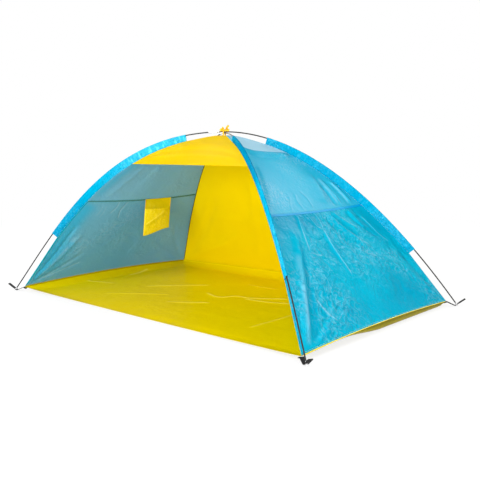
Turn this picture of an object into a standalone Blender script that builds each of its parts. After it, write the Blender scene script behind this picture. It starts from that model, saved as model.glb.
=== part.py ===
"""A two-pole beach tent: fabric walls, a visor and a groundsheet under two crossed
fibreglass poles, which stand in webbing straps at the four floor corners.

Lengths are in metres. The opening faces -Y, the tent stands on z = 0 and the
origin is the middle of its floor. Fabric is drawn thicker than it is.
"""

import math

import bmesh
import bpy
from mathutils import Matrix, Vector

UP = Vector((0.0, 0.0, 1.0))

# Whole tent
FLOOR_WIDTH = 2.20
FLOOR_DEPTH = 1.40
CROSSING_HEIGHT = 1.00
CLEARANCE = 0.0003
OVERRUN = 0.004

# Fabric and hems
CLOTH = 0.0015
CORNER_HEIGHT = 0.026
SIDE_HEM_RISE = 0.019
FRONT_EDGE_DROP = 0.022
FRONT_EDGE_INSET = 0.034
RIM_WIDTH = 0.055
WALL_SEAM_HEIGHT = 0.582
WALL_SEAM_SAG = 0.012
VISOR_DROP = 0.191
PEAK_OPENING = 0.030
WALL_BOW_SHARE = 0.028

# Poles
POLE_DIAMETER = 0.007
POLE_BORE = 0.0038
TUBE_COUNT = 6
FOOT_REACH = 0.065
FOOT_ANGLE = math.radians(53.7)
LOW_HANDLE_SHARE = 0.41
TOP_HANDLE_SHARE = 0.55
JOINT_SHIFT = 0.050
FERRULE_LENGTH = 0.066
FERRULE_DIAMETER = 0.0096
SHOCK_CORD = 0.0025
PIN_DIAMETER = 0.0044
PIN_LENGTH = 0.0160
SHOULDER_LENGTH = 0.0060
SPIGOT_LENGTH = 0.0180
SPIGOT_DIAMETER = 0.0031

# Sleeves: distances along the pole, from its foot and from the crossing
FRONT_LEFT_FOOT_GAP = 0.458
FRONT_RIGHT_FOOT_GAP = 0.425
BACK_RIGHT_FOOT_GAP = 0.413
BACK_LEFT_FOOT_GAP = 0.432
FRONT_LEFT_PEAK_GAP = 0.236
FRONT_RIGHT_PEAK_GAP = 0.205
BACK_RIGHT_PEAK_GAP = 0.259
BACK_LEFT_PEAK_GAP = 0.230
SLEEVE_FOOT_GAPS = {
    "front_left": FRONT_LEFT_FOOT_GAP,
    "front_right": FRONT_RIGHT_FOOT_GAP,
    "back_right": BACK_RIGHT_FOOT_GAP,
    "back_left": BACK_LEFT_FOOT_GAP,
}
SLEEVE_PEAK_GAPS = {
    "front_left": FRONT_LEFT_PEAK_GAP,
    "front_right": FRONT_RIGHT_PEAK_GAP,
    "back_right": BACK_RIGHT_PEAK_GAP,
    "back_left": BACK_LEFT_PEAK_GAP,
}
SLEEVE_DEPTH_AT_ENDS = 0.035
SLEEVE_DEPTH_AT_MIDDLE = 0.044
SLEEVE_CLOTH = 0.0008
SLEEVE_BORE_DEPTH = 0.0142
SLEEVE_BORE_WIDTH = 0.0106
SLEEVE_CHORD_ALLOWANCE = 0.0011
PEAK_DROP = 0.020

# How full each half pole bows, as a share of its handles
FULLNESS_SHARES = {
    "front_left": 0.963,
    "front_right": 0.803,
    "back_right": 0.782,
    "back_left": 0.850,
}
CORNER_SIGNS = {
    "front_left": (-1, -1),
    "front_right": (1, -1),
    "back_right": (1, 1),
    "back_left": (-1, 1),
}

# Corner straps, peg tabs and eyelets
STRAP_WIDTH = 0.025
STRAP_THICKNESS = 0.0015
STRAP_TUCK = 0.012
STRAP_EAR = 0.004
PIN_REACH = 0.010
FOLD_TO_PIN = 0.0112
PIN_TO_HINGE = 0.0125
TAB_LENGTH = 0.046
EYELET_HOLE = 0.0052
EYELET_FLANGE = 0.0130
EYELET_METAL = 0.0006

# Peak patch and ribbon
PATCH = 0.0012
PATCH_REACH = 0.054
RIBBON_WIDTH = 0.012
RIBBON = 0.0012
RIBBON_LEG_GAP = 0.0085
KNOT_WIDTH = 0.016
KNOT_DEPTH = 0.013
KNOT_HEIGHT = 0.011
TAIL_WIDTH = 0.009
BOW_TURN = math.radians(42.0)

# The ribbon's loose ends: sideways and up from the knot, as shares of its width
RIBBON_END_SHARES = {
    "long_end": ((0.1, 0.0), (0.9, 0.5), (1.25, 1.4), (1.75, 1.75)),
    "short_end": ((-0.1, 0.0), (-0.8, 0.45), (-1.35, 0.3)),
    "third_end": ((0.0, 0.1), (-0.35, 0.9), (-0.75, 1.15)),
}

# Pocket
POCKET_START = 0.430
POCKET_WIDTH = 0.220
POCKET_FRONT_DROP = 0.240
POCKET_BACK_DROP = 0.205
POCKET_LEAN = 0.030
POCKET_MOUTH_DROP = 0.064
POCKET_FULLNESS = 0.014
POCKET_HEM = 0.008
POCKET_STAND_OFF = 0.00045

# Piping and reinforcements
PIPING = 0.0035
REINFORCEMENT = 0.024
REINFORCEMENT_SHARES = ((0.35, 0.0), (1.35, 0.0), (1.35, 0.9))

# Folds that stand in the lower right wall: start and end as shares of its
# length and height, then a width and a height from the sizes below
FOLD_BROAD = 0.034
FOLD_NARROW = 0.020
FOLD_HIGH = 0.011
FOLD_LOW = 0.006
RIGHT_FOLD_SHARES = (
    (0.045, 0.03, 0.130, 0.86, FOLD_BROAD, FOLD_HIGH),
    (0.115, 0.00, 0.190, 0.60, FOLD_BROAD, -FOLD_HIGH),
    (0.22, 0.98, 0.36, 0.55, FOLD_NARROW, FOLD_LOW),
    (0.34, 0.98, 0.56, 0.40, FOLD_NARROW, FOLD_LOW),
    (0.48, 0.98, 0.74, 0.50, FOLD_NARROW, FOLD_LOW),
    (0.60, 0.97, 0.88, 0.38, FOLD_BROAD, FOLD_LOW),
    (0.30, 0.10, 0.52, 0.44, FOLD_BROAD, -FOLD_LOW),
)
CREASE_HEIGHT = 0.007
CREASE_WIDTH = 0.045
CREASE_SHARE = 0.66
CREASE_DIP_SHARE = 0.045


def remove_everything():
    for thing in list(bpy.data.objects):
        bpy.data.objects.remove(thing, do_unlink=True)


def finish(name, colour, roughness, metallic=0.0):
    """A plain material of one colour."""
    made = bpy.data.materials.new(name)
    made.use_nodes = True
    shader = made.node_tree.nodes["Principled BSDF"]
    shader.inputs["Base Color"].default_value = (*colour, 1.0)
    shader.inputs["Roughness"].default_value = roughness
    shader.inputs["Metallic"].default_value = metallic
    return made


def mesh_object(name, points, faces, material, smooth=False):
    """A named object from corner points and faces that look outwards."""
    mesh = bpy.data.meshes.new(name)
    mesh.from_pydata([tuple(point) for point in points], [], faces)
    mesh.materials.append(material)
    if smooth:
        mesh.shade_smooth()
    mesh.validate()
    made = bpy.data.objects.new(name, mesh)
    bpy.context.scene.collection.objects.link(made)
    outward(mesh)
    return made


def outward(mesh):
    """Turns the faces of a closed mesh to look outwards."""
    work = bmesh.new()
    work.from_mesh(mesh)
    bmesh.ops.recalc_face_normals(work, faces=work.faces)
    if work.calc_volume(signed=True) < 0.0:
        bmesh.ops.reverse_faces(work, faces=work.faces)
    work.to_mesh(mesh)
    work.free()


def boolean(target, other, operation):
    """Cuts or joins one object with another, which stays out of the model."""
    modifier = target.modifiers.new(operation.lower(), "BOOLEAN")
    modifier.operation = operation
    modifier.object = other
    modifier.solver = "EXACT"
    other.hide_render = True
    other.display_type = "WIRE"


def blend(first, last, share):
    return first + (last - first) * share


def eased(share):
    """0 to 1 with a level start and end."""
    held = min(max(share, 0.0), 1.0)
    return held * held * (3.0 - 2.0 * held)


def arch(share):
    """0 at both ends and 1 in the middle."""
    return 4.0 * share * (1.0 - share)


HALVINGS = 60


class Route:
    """A line through space that is read by the distance along it."""

    def __init__(self, points):
        self.points = points
        self.runs = [0.0]
        for here, there in zip(points, points[1:]):
            self.runs.append(self.runs[-1] + (there - here).length)
        self.length = self.runs[-1]

    def at(self, run):
        low, high = 0, len(self.runs) - 1
        while high - low > 1:
            middle = (low + high) // 2
            if self.runs[middle] <= run:
                low = middle
            else:
                high = middle
        span = self.runs[high] - self.runs[low]
        return self.points[low].lerp(self.points[high], (run - self.runs[low]) / span)

    def heading(self, run):
        step = self.length / len(self.points)
        before = self.at(max(run - step, 0.0))
        return (self.at(min(run + step, self.length)) - before).normalized()

    def run_where(self, measure, target):
        """The distance at which a measure that grows along the line meets its target."""
        low, high = 0.0, self.length
        for _ in range(HALVINGS):
            middle = (low + high) / 2.0
            if measure(self.at(middle)) < target:
                low = middle
            else:
                high = middle
        return low


# Poles as lines

LINE_STEPS = 240
HALF_DIAGONAL = math.hypot(FLOOR_WIDTH, FLOOR_DEPTH) / 2.0
FOOT_LIFT = PIN_DIAMETER / 2.0 * math.cos(FOOT_ANGLE)
LOWER_CROSSING = CROSSING_HEIGHT - POLE_DIAMETER - CLEARANCE
PEAK_HEIGHT = CROSSING_HEIGHT - PEAK_DROP
VISOR_HEM_HEIGHT = CROSSING_HEIGHT - VISOR_DROP
CROSSINGS = {
    "front_left": CROSSING_HEIGHT,
    "back_right": CROSSING_HEIGHT,
    "front_right": LOWER_CROSSING,
    "back_left": LOWER_CROSSING,
}


def corner_direction(corner):
    """From the middle of the floor to a corner, level."""
    across, along = CORNER_SIGNS[corner]
    return Vector((across * FLOOR_WIDTH, along * FLOOR_DEPTH, 0.0)).normalized()


def half_pole(corner):
    """Points of a half pole's middle line, from its foot to the crossing."""
    outward_way = corner_direction(corner)
    crossing = CROSSINGS[corner]
    reach = HALF_DIAGONAL + FOOT_REACH
    fullness = FULLNESS_SHARES[corner]
    rise = fullness * LOW_HANDLE_SHARE * reach
    ends = (
        Vector((reach, FOOT_LIFT)),
        Vector((reach - rise * math.cos(FOOT_ANGLE), FOOT_LIFT + rise * math.sin(FOOT_ANGLE))),
        Vector((fullness * TOP_HANDLE_SHARE * reach, crossing)),
        Vector((0.0, crossing)),
    )
    points = []
    for step in range(LINE_STEPS + 1):
        t = step / LINE_STEPS
        flat = ends[0] * (1 - t) ** 3 + ends[1] * 3 * (1 - t) ** 2 * t
        flat += ends[2] * 3 * (1 - t) * t**2 + ends[3] * t**3
        points.append(outward_way * flat.x + UP * flat.y)
    return points


HALF_POLES = {corner: Route(half_pole(corner)) for corner in CORNER_SIGNS}


def whole_pole(first, second):
    """Both halves as one line, from the first corner's foot to the second's."""
    return Route(HALF_POLES[first].points + HALF_POLES[second].points[-2::-1])


def below(route, run):
    """The direction square to the pole, towards the fabric."""
    heading = route.heading(run)
    return (heading * heading.z - UP).normalized()


def seam_depth(corner, run):
    """From the pole's middle to the seam under it."""
    route = HALF_POLES[corner]
    start = SLEEVE_FOOT_GAPS[corner]
    end = route.length - SLEEVE_PEAK_GAPS[corner]
    if run > end:
        drop = CROSSINGS[corner] - PEAK_HEIGHT
        return blend(SLEEVE_DEPTH_AT_ENDS, drop, eased((run - end) / SLEEVE_PEAK_GAPS[corner]))
    share = (run - start) / (end - start)
    return blend(SLEEVE_DEPTH_AT_ENDS, SLEEVE_DEPTH_AT_MIDDLE, math.sin(math.pi * share))


def ridge_line(corner):
    """The seam where two fabric faces meet under a pole, from floor corner to peak."""
    route = HALF_POLES[corner]
    start = SLEEVE_FOOT_GAPS[corner]
    floor_corner = corner_direction(corner) * HALF_DIAGONAL + UP * CORNER_HEIGHT
    first = route.at(start) + below(route, start) * seam_depth(corner, start)
    points = [floor_corner.lerp(first, step / LINE_STEPS) for step in range(LINE_STEPS)]
    for step in range(LINE_STEPS + 1):
        run = blend(start, route.length, step / LINE_STEPS)
        points.append(route.at(run) + below(route, run) * seam_depth(corner, run))
    points[-1] = UP * PEAK_HEIGHT
    return Route(points)


RIDGES = {corner: ridge_line(corner) for corner in CORNER_SIGNS}


def run_at_height(corner, height):
    return RIDGES[corner].run_where(lambda point: point.z, height)


def run_at_reach(corner, reach):
    """Where the ridge comes within a distance of the tent's middle line."""
    return RIDGES[corner].run_where(lambda point: -point.xy.length, -reach)


# Tubes, sheets and other closed shapes


def ring(centre, first, second, radius, sides):
    """Corner points of a regular polygon."""
    turn = 2.0 * math.pi / sides
    return [
        centre + (first * math.cos(i * turn) + second * math.sin(i * turn)) * radius
        for i in range(sides)
    ]


def skin(rings, closed_ends=True):
    """Points and faces through rings of equal counts."""
    count = len(rings[0])
    points = [point for one in rings for point in one]
    faces = []
    for row in range(len(rings) - 1):
        for i in range(count):
            j = (i + 1) % count
            faces.append((row * count + i, row * count + j, (row + 1) * count + j, (row + 1) * count + i))
    if closed_ends:
        last = (len(rings) - 1) * count
        faces.append(tuple(reversed(range(count))))
        faces.append(tuple(range(last, last + count)))
    return points, faces


def hollow_skin(outer, inner):
    """Points and faces of a pipe: outer rings and inner rings joined at both ends."""
    count = len(outer[0])
    points, faces = skin(outer, closed_ends=False)
    shift = len(points)
    inside, inner_faces = skin(inner, closed_ends=False)
    points += inside
    faces += [tuple(shift + i for i in reversed(face)) for face in inner_faces]
    last = (len(outer) - 1) * count
    for i in range(count):
        j = (i + 1) % count
        faces.append((j, i, shift + i, shift + j))
        faces.append((last + i, last + j, shift + last + j, shift + last + i))
    return points, faces


POLE_SIDES = 8
CORD_SIDES = 6


def tube_rings(route, side, runs, radius, sides):
    """Rings square to a line, at distances along it."""
    rings = []
    for run in runs:
        heading = route.heading(run)
        rings.append(ring(route.at(run), side, heading.cross(side), radius, sides))
    return rings


def two_sided(name, front, back, material):
    """A closed shape between two grids of the same size."""
    rows, columns = len(front), len(front[0])
    points = [point for row in front for point in row] + [point for row in back for point in row]
    shift = rows * columns
    faces = []
    for j in range(rows - 1):
        for i in range(columns - 1):
            a, b = j * columns + i, j * columns + i + 1
            c, d = b + columns, a + columns
            faces.append((a, b, c, d))
            faces.append((shift + d, shift + c, shift + b, shift + a))
    border = list(range(columns))
    border += [j * columns + columns - 1 for j in range(1, rows)]
    border += [(rows - 1) * columns + i for i in range(columns - 2, -1, -1)]
    border += [j * columns for j in range(rows - 2, 0, -1)]
    for here, there in zip(border, border[1:] + border[:1]):
        faces.append((there, here, shift + here, shift + there))
    return mesh_object(name, points, faces, material)


def sheet(name, grid, thickness, material):
    """A closed sheet of even thickness round a grid of points."""
    rows, columns = len(grid), len(grid[0])

    def lean(j, i):
        along = grid[j][min(i + 1, columns - 1)] - grid[j][max(i - 1, 0)]
        up = grid[min(j + 1, rows - 1)][i] - grid[max(j - 1, 0)][i]
        return along.cross(up).normalized() * (thickness / 2.0)

    front = [[grid[j][i] + lean(j, i) for i in range(columns)] for j in range(rows)]
    back = [[grid[j][i] - lean(j, i) for i in range(columns)] for j in range(rows)]
    return two_sided(name, front, back, material)


def prism(name, outline, first, second, depth_way, depth, material):
    """An outline in two directions, pushed out evenly to both sides."""
    half = depth_way * (depth / 2.0)
    flat = [first * x + second * y for x, y in outline]
    rings = [[point - half for point in flat], [point + half for point in flat]]
    points, faces = skin(rings)
    return mesh_object(name, points, faces, material)


MITRE_LIMIT_SHARE = 0.5


def ribbon(name, line, width_way, width, thickness, material):
    """A flat band along a line, its width in one fixed direction."""
    rings = []
    for i, point in enumerate(line):
        before = line[max(i - 1, 0)]
        after = line[min(i + 1, len(line) - 1)]
        ahead = (after - before).normalized()
        square = width_way.cross(ahead).normalized()
        turn = 1.0
        if 0 < i < len(line) - 1:
            inward_way = (point - before).normalized()
            turn = max(abs(width_way.cross(inward_way).normalized().dot(square)), MITRE_LIMIT_SHARE)
        reach = square * (thickness / 2.0 / turn)
        half = width_way * (width / 2.0)
        rings.append([point - half - reach, point + half - reach, point + half + reach, point - half + reach])
    points, faces = skin(rings)
    return mesh_object(name, points, faces, material)


# The poles' pieces

TUBE_SPANS = 5
TUBE_START = PIN_LENGTH + SHOULDER_LENGTH + CLEARANCE


def tube_joints(route):
    """Distances at which two tubes of a pole meet."""
    even = route.length / TUBE_COUNT
    return [even * i - JOINT_SHIFT for i in range(1, TUBE_COUNT)]


def tube_runs(start, end, first, last):
    """Where a tube has its rings: its ends, the ferrules' ends and even steps between."""
    low = start if first else start + FERRULE_LENGTH / 2.0
    high = end if last else end - FERRULE_LENGTH / 2.0
    steps = [blend(low, high, i / TUBE_SPANS) for i in range(TUBE_SPANS + 1)]
    return ([] if first else [start]) + steps + ([] if last else [end])


def pole_rows(route):
    """Each tube's list of rings along the pole."""
    joints = tube_joints(route)
    ends = [TUBE_START] + joints + [route.length - TUBE_START]
    rows = []
    for i in range(TUBE_COUNT):
        rows.append(tube_runs(ends[i], ends[i + 1], i == 0, i == TUBE_COUNT - 1))
    return rows


def trimmed(runs, gap):
    """The same rings with both end rings drawn in by a gap."""
    return [runs[0] + gap] + runs[1:-1] + [runs[-1] - gap]


def build_pole(label, first, second, materials):
    route = whole_pole(first, second)
    side = corner_direction(second).cross(UP)
    rows = pole_rows(route)
    for i, runs in enumerate(rows):
        short = trimmed(runs, CLEARANCE / 2.0)
        outer = tube_rings(route, side, short, POLE_DIAMETER / 2.0, POLE_SIDES)
        inner = tube_rings(route, side, short, POLE_BORE / 2.0, POLE_SIDES)
        mesh_object(f"{label}_tube_{i + 1}", *hollow_skin(outer, inner), materials["fibreglass"], True)
    for i, joint in enumerate(tube_joints(route)):
        half = FERRULE_LENGTH / 2.0
        runs = [joint - half, joint, joint + half]
        outer = tube_rings(route, side, runs, FERRULE_DIAMETER / 2.0, POLE_SIDES)
        inner = tube_rings(route, side, runs, POLE_DIAMETER / 2.0 + CLEARANCE, POLE_SIDES)
        mesh_object(f"{label}_ferrule_{i + 1}", *hollow_skin(outer, inner), materials["steel"], True)
    build_shock_cord(label, route, side, rows, materials["cord"])
    return route


def build_shock_cord(label, route, side, rows, material):
    start = TUBE_START + SPIGOT_LENGTH + CLEARANCE
    end = route.length - start
    runs = [start] + [run for row in rows for run in row if start < run < end] + [end]
    runs = sorted(set(runs))
    rings = tube_rings(route, side, runs, SHOCK_CORD / 2.0, CORD_SIDES)
    mesh_object(f"{label}_shock_cord", *skin(rings), material, True)


def build_tip(corner, material):
    """A turned pin: the pin itself, a shoulder under the tube and a spigot inside it."""
    route = HALF_POLES[corner]
    side = corner_direction(corner).cross(UP)
    shoulder = PIN_LENGTH + SHOULDER_LENGTH
    profile = (
        (0.0, PIN_DIAMETER / 2.0),
        (PIN_LENGTH, PIN_DIAMETER / 2.0),
        (PIN_LENGTH, POLE_DIAMETER / 2.0),
        (shoulder, POLE_DIAMETER / 2.0),
        (shoulder, SPIGOT_DIAMETER / 2.0),
        (shoulder + SPIGOT_LENGTH, SPIGOT_DIAMETER / 2.0),
    )
    rings = []
    for run, radius in profile:
        heading = route.heading(run)
        rings.append(ring(route.at(run), side, heading.cross(side), radius, POLE_SIDES))
    mesh_object(f"pole_tip_{corner}", *skin(rings), material, True)


# Sleeves

BORE_SIDES = 8
SLEEVE_SEAT = CLOTH / 2.0 + CLEARANCE + SLEEVE_CHORD_ALLOWANCE


def sleeve_runs(corner, route_runs):
    """A sleeve's rings share the pole's own, so that both bend at the same places."""
    start = SLEEVE_FOOT_GAPS[corner]
    end = HALF_POLES[corner].length - SLEEVE_PEAK_GAPS[corner]
    least = FERRULE_LENGTH / 4.0
    inside = [run for run in route_runs if start + least < run < end - least]
    return [start] + inside + [end]


def sleeve_section(depth):
    """Outer outline and bore in (side, downward) sizes, the bore's points first below."""
    wide, deep = SLEEVE_BORE_WIDTH / 2.0, SLEEVE_BORE_DEPTH / 2.0
    lowered = deep - FERRULE_DIAMETER / 2.0 - CLEARANCE
    over_flats = 1.0 / math.cos(math.pi / BORE_SIDES)
    wide, deep = wide * over_flats, deep * over_flats
    bore = []
    outer = []
    for i in range(BORE_SIDES):
        angle = 2.0 * math.pi * (i + 0.5) / BORE_SIDES
        across, down = math.sin(angle), math.cos(angle)
        bore.append((across * wide, lowered + down * deep))
        outer.append((across * (wide + SLEEVE_CLOTH), lowered + down * (deep + SLEEVE_CLOTH)))
    tongue = depth - SLEEVE_SEAT
    foot = [(-SLEEVE_CLOTH, tongue), (SLEEVE_CLOTH, tongue)]
    return outer, bore, foot


def build_sleeve(corner, pole_runs, material):
    """A flat fabric tube: the pole's channel and the tongue down to the ridge seam."""
    route = HALF_POLES[corner]
    side = corner_direction(corner).cross(UP)
    points, faces = [], []
    runs = sleeve_runs(corner, pole_runs)
    for run in runs:
        centre, down = route.at(run), below(route, run)
        outer, bore, foot = sleeve_section(seam_depth(corner, run))
        for across, depth in outer + foot + bore:
            points.append(centre + side * across + down * depth)
    outside = BORE_SIDES + 2
    count = outside + BORE_SIDES
    for row in range(len(runs) - 1):
        for first, size in ((0, outside), (outside, BORE_SIDES)):
            for i in range(size):
                j = (i + 1) % size
                low, high = row * count + first, (row + 1) * count + first
                face = (low + i, low + j, high + j, high + i)
                faces.append(face if first == 0 else tuple(reversed(face)))
    for row, turned in ((0, False), (len(runs) - 1, True)):
        base = row * count
        for i in range(BORE_SIDES - 1):
            face = (base + i, base + i + 1, base + outside + i + 1, base + outside + i)
            faces.append(tuple(reversed(face)) if turned else face)
        last = BORE_SIDES - 1
        face = (
            base + last,
            base + BORE_SIDES,
            base + BORE_SIDES + 1,
            base,
            base + outside,
            base + outside + last,
        )
        faces.append(tuple(reversed(face)) if turned else face)
    mesh_object(f"sleeve_{corner}", points, faces, material)


# Fabric faces


def side_way(corner):
    """Level and square to the plane that holds a corner's pole."""
    return corner_direction(corner).cross(UP)


def ridge_setback(corner, run, ruling):
    """How far a face stops from its ridge, so that two faces keep their clearance."""
    heading = RIDGES[corner].heading(run)
    lean = heading.cross(ruling).normalized()
    square = side_way(corner)
    away = abs(ruling.dot(square))
    return (CLEARANCE / 2.0 + CLOTH / 2.0 * abs(lean.dot(square))) / away


def ruled_face(corners, starts, ends, columns, rows, shape, crowding_share=0.0):
    """A grid between two ridges; shape(u, v, ruling) adds bow, sag and folds.

    Crowding sets the rows closer together towards the peak, where ridges bend most.
    """
    first, second = corners
    grid = []
    for j in range(rows + 1):
        v = j / rows * (1.0 + crowding_share * (1.0 - j / rows))
        runs = (blend(starts[0], ends[0], v), blend(starts[1], ends[1], v))
        low, high = RIDGES[first].at(runs[0]), RIDGES[second].at(runs[1])
        ruling = (high - low).normalized()
        low = low + ruling * ridge_setback(first, runs[0], ruling)
        high = high - ruling * ridge_setback(second, runs[1], ruling)
        row = []
        for i in range(columns + 1):
            u = i / columns
            row.append(low.lerp(high, u) + shape(u, v, high - low))
        grid.append(row)
    return grid


def out_of(corners):
    """The direction in which a wall faces, level."""
    first, second = (corner_direction(corner) for corner in corners)
    return (second - first).cross(UP).normalized()


def fold(u, v, first, last, width, rise):
    """One straight fold of a lower wall panel: a smooth ridge along a line, faded at its ends."""
    along = Vector(((last[0] - first[0]) * FLOOR_DEPTH, (last[1] - first[1]) * WALL_SEAM_HEIGHT))
    here = Vector(((u - first[0]) * FLOOR_DEPTH, (v - first[1]) * WALL_SEAM_HEIGHT))
    share = here.dot(along) / along.length_squared
    off = (here - along * share).length
    if share < 0.0 or share > 1.0:
        return 0.0
    return rise * math.exp(-((off / width) ** 2)) * math.sin(math.pi * share) ** 0.5


def hem_height(share):
    """Rise of the side and back hems between their corners."""
    return SIDE_HEM_RISE * arch(share)


HEM_SEAT = CLOTH / 2.0 + CLEARANCE
SEAM_HALF_GAP = CLEARANCE / 2.0


def wall_runs(corners):
    """Distances up both ridges at the hem, the wall seam, the visor hem and the peak."""
    hem = tuple(HEM_SEAT for _ in corners)
    seam = tuple(run_at_height(corner, WALL_SEAM_HEIGHT) for corner in corners)
    visor = tuple(run_at_height(corner, VISOR_HEM_HEIGHT) for corner in corners)
    peak = tuple(run_at_reach(corner, PEAK_OPENING) for corner in corners)
    return hem, seam, visor, peak


def shifted(runs, amount):
    return tuple(run + amount for run in runs)


def bow(u, climb, ruling, facing):
    """Tension draws a face inwards between its ridges, most at half height."""
    return -facing * (ruling.length * WALL_BOW_SHARE * arch(u) * math.sin(math.pi * climb))


EDGE_FADE = 4.0


def lower_shape(facing, seam_climb, folds):
    def shape(u, v, ruling):
        moved = bow(u, v * seam_climb, ruling, facing)
        moved += UP * (hem_height(u) * (1.0 - v) ** 2 - WALL_SEAM_SAG * arch(u) * v)
        faded = eased(arch(u) * EDGE_FADE) * eased(arch(v) * EDGE_FADE)
        for u0, v0, u1, v1, width, rise in folds:
            height = fold(u, v, (u0, v0), (u1, v1), width, rise)
            moved += facing * (height * faded)
        return moved

    return shape


def upper_shape(facing, seam_climb, crease):
    def shape(u, v, ruling):
        moved = bow(u, blend(seam_climb, 1.0, v), ruling, facing)
        moved -= UP * (WALL_SEAM_SAG * arch(u) * (1.0 - v))
        off = v - CREASE_SHARE - CREASE_DIP_SHARE * arch(u)
        span = FLOOR_DEPTH * off / CREASE_WIDTH / 2.0
        moved += UP * (crease * arch(u) * math.exp(-span * span))
        return moved

    return shape


LOWER_COLUMNS, LOWER_ROWS = 26, 18
PLAIN_COLUMNS, PLAIN_ROWS = 14, 9
BACK_ROWS, VISOR_ROWS = 14, 8
PEAK_CROWDING_SHARE = 0.6


def build_side_wall(side, corners, folds, crease, colour):
    """A wall of two panels that meet at the wall seam."""
    facing = out_of(corners)
    hem, seam, _, peak = wall_runs(corners)
    seam_climb = seam[0] / peak[0]
    rows = LOWER_ROWS if folds else PLAIN_ROWS
    columns = LOWER_COLUMNS if folds else PLAIN_COLUMNS
    lower = ruled_face(
        corners, hem, shifted(seam, -SEAM_HALF_GAP), columns, rows, lower_shape(facing, seam_climb, folds)
    )
    upper = ruled_face(
        corners,
        shifted(seam, SEAM_HALF_GAP),
        peak,
        PLAIN_COLUMNS,
        PLAIN_ROWS,
        upper_shape(facing, seam_climb, crease),
        PEAK_CROWDING_SHARE,
    )
    sheet(f"{side}_wall_lower_panel", lower, CLOTH, colour)
    sheet(f"{side}_wall_upper_panel", upper, CLOTH, colour)
    return lower, upper


def build_back_wall(corners, colour):
    facing = out_of(corners)
    hem, _, _, peak = wall_runs(corners)

    def shape(u, v, ruling):
        lifted = UP * (hem_height(u) * max(1.0 - 2.0 * v, 0.0) ** 2)
        return bow(u, v, ruling, facing) + lifted

    grid = ruled_face(corners, hem, peak, PLAIN_COLUMNS, BACK_ROWS, shape, PEAK_CROWDING_SHARE)
    sheet("back_wall", grid, CLOTH, colour)
    return grid


def build_visor(corners, colour):
    facing = out_of(corners)
    _, _, visor, peak = wall_runs(corners)
    climb = visor[0] / peak[0]

    def shape(u, v, ruling):
        return bow(u, blend(climb, 1.0, v), ruling, facing)

    grid = ruled_face(corners, visor, peak, PLAIN_COLUMNS, VISOR_ROWS, shape, PEAK_CROWDING_SHARE)
    sheet("visor", grid, CLOTH, colour)
    return grid


# Groundsheet and its piping


def rim_height(from_edge, height):
    """The sheet climbs to its seam over the rim's width."""
    return height * (1.0 - eased(from_edge / RIM_WIDTH))


def floor_height(x, y):
    """Height of the groundsheet's middle surface."""
    beside = FLOOR_WIDTH / 2.0 - abs(x)
    behind = FLOOR_DEPTH / 2.0 - y
    ahead = FLOOR_DEPTH / 2.0 + y
    u, v = x / FLOOR_WIDTH + 0.5, y / FLOOR_DEPTH + 0.5
    side = rim_height(beside, CORNER_HEIGHT + hem_height(v))
    back = rim_height(behind, CORNER_HEIGHT + hem_height(u))
    front = rim_height(ahead, CORNER_HEIGHT - FRONT_EDGE_DROP * arch(u) ** 0.5)
    return max(side, back, front) - HEM_SEAT


FLOOR_SPANS_ACROSS, FLOOR_SPANS_ALONG = 9, 6


def floor_stations(half, spans):
    """Places across the sheet, close together over its rim."""
    rim = [half, half - RIM_WIDTH / 3.0, half - RIM_WIDTH * 2.0 / 3.0, half - RIM_WIDTH]
    inner = half - RIM_WIDTH
    middle = [blend(-inner, inner, i / spans) for i in range(1, spans)]
    return [-place for place in rim] + middle + list(reversed(rim))


def build_floor(colour):
    across = floor_stations(FLOOR_WIDTH / 2.0, FLOOR_SPANS_ACROSS)
    along = floor_stations(FLOOR_DEPTH / 2.0, FLOOR_SPANS_ALONG)
    grid = []
    for y in along:
        row = []
        for x in across:
            ahead = eased((FLOOR_DEPTH / 2.0 - y) / FLOOR_DEPTH) * FRONT_EDGE_INSET
            inset = ahead * arch(x / FLOOR_WIDTH + 0.5) ** 0.5
            height = max(floor_height(x, y), CLOTH / 2.0)
            row.append(Vector((x, y + inset, height)))
        grid.append(row)
    sheet("groundsheet", grid, CLOTH, colour)
    return grid


def build_piping(name, edge, facing, colour):
    """A cord of fabric sewn along a hem's outer side."""
    out = PIPING / 2.0 + CLOTH / 2.0 + CLEARANCE
    line = [point + facing * out for point in edge[1:-1]]
    rings = []
    for i, point in enumerate(line):
        ahead = (line[min(i + 1, len(line) - 1)] - line[max(i - 1, 0)]).normalized()
        level = ahead.cross(UP).normalized()
        rings.append(ring(point, level, ahead.cross(level), PIPING / 2.0, CORD_SIDES))
    mesh_object(name, *skin(rings), colour, True)


# Corners: strap, eyelet and peg tab


def corner_places(corner):
    """The pin's crossing with the strap, and the directions that the strap follows."""
    route = HALF_POLES[corner]
    outward_way = corner_direction(corner)
    crossing = route.at(PIN_REACH)
    climb = route.heading(PIN_REACH)
    slope = (outward_way * climb.z + UP * -climb.dot(outward_way)).normalized()
    return crossing, climb, slope


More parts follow.
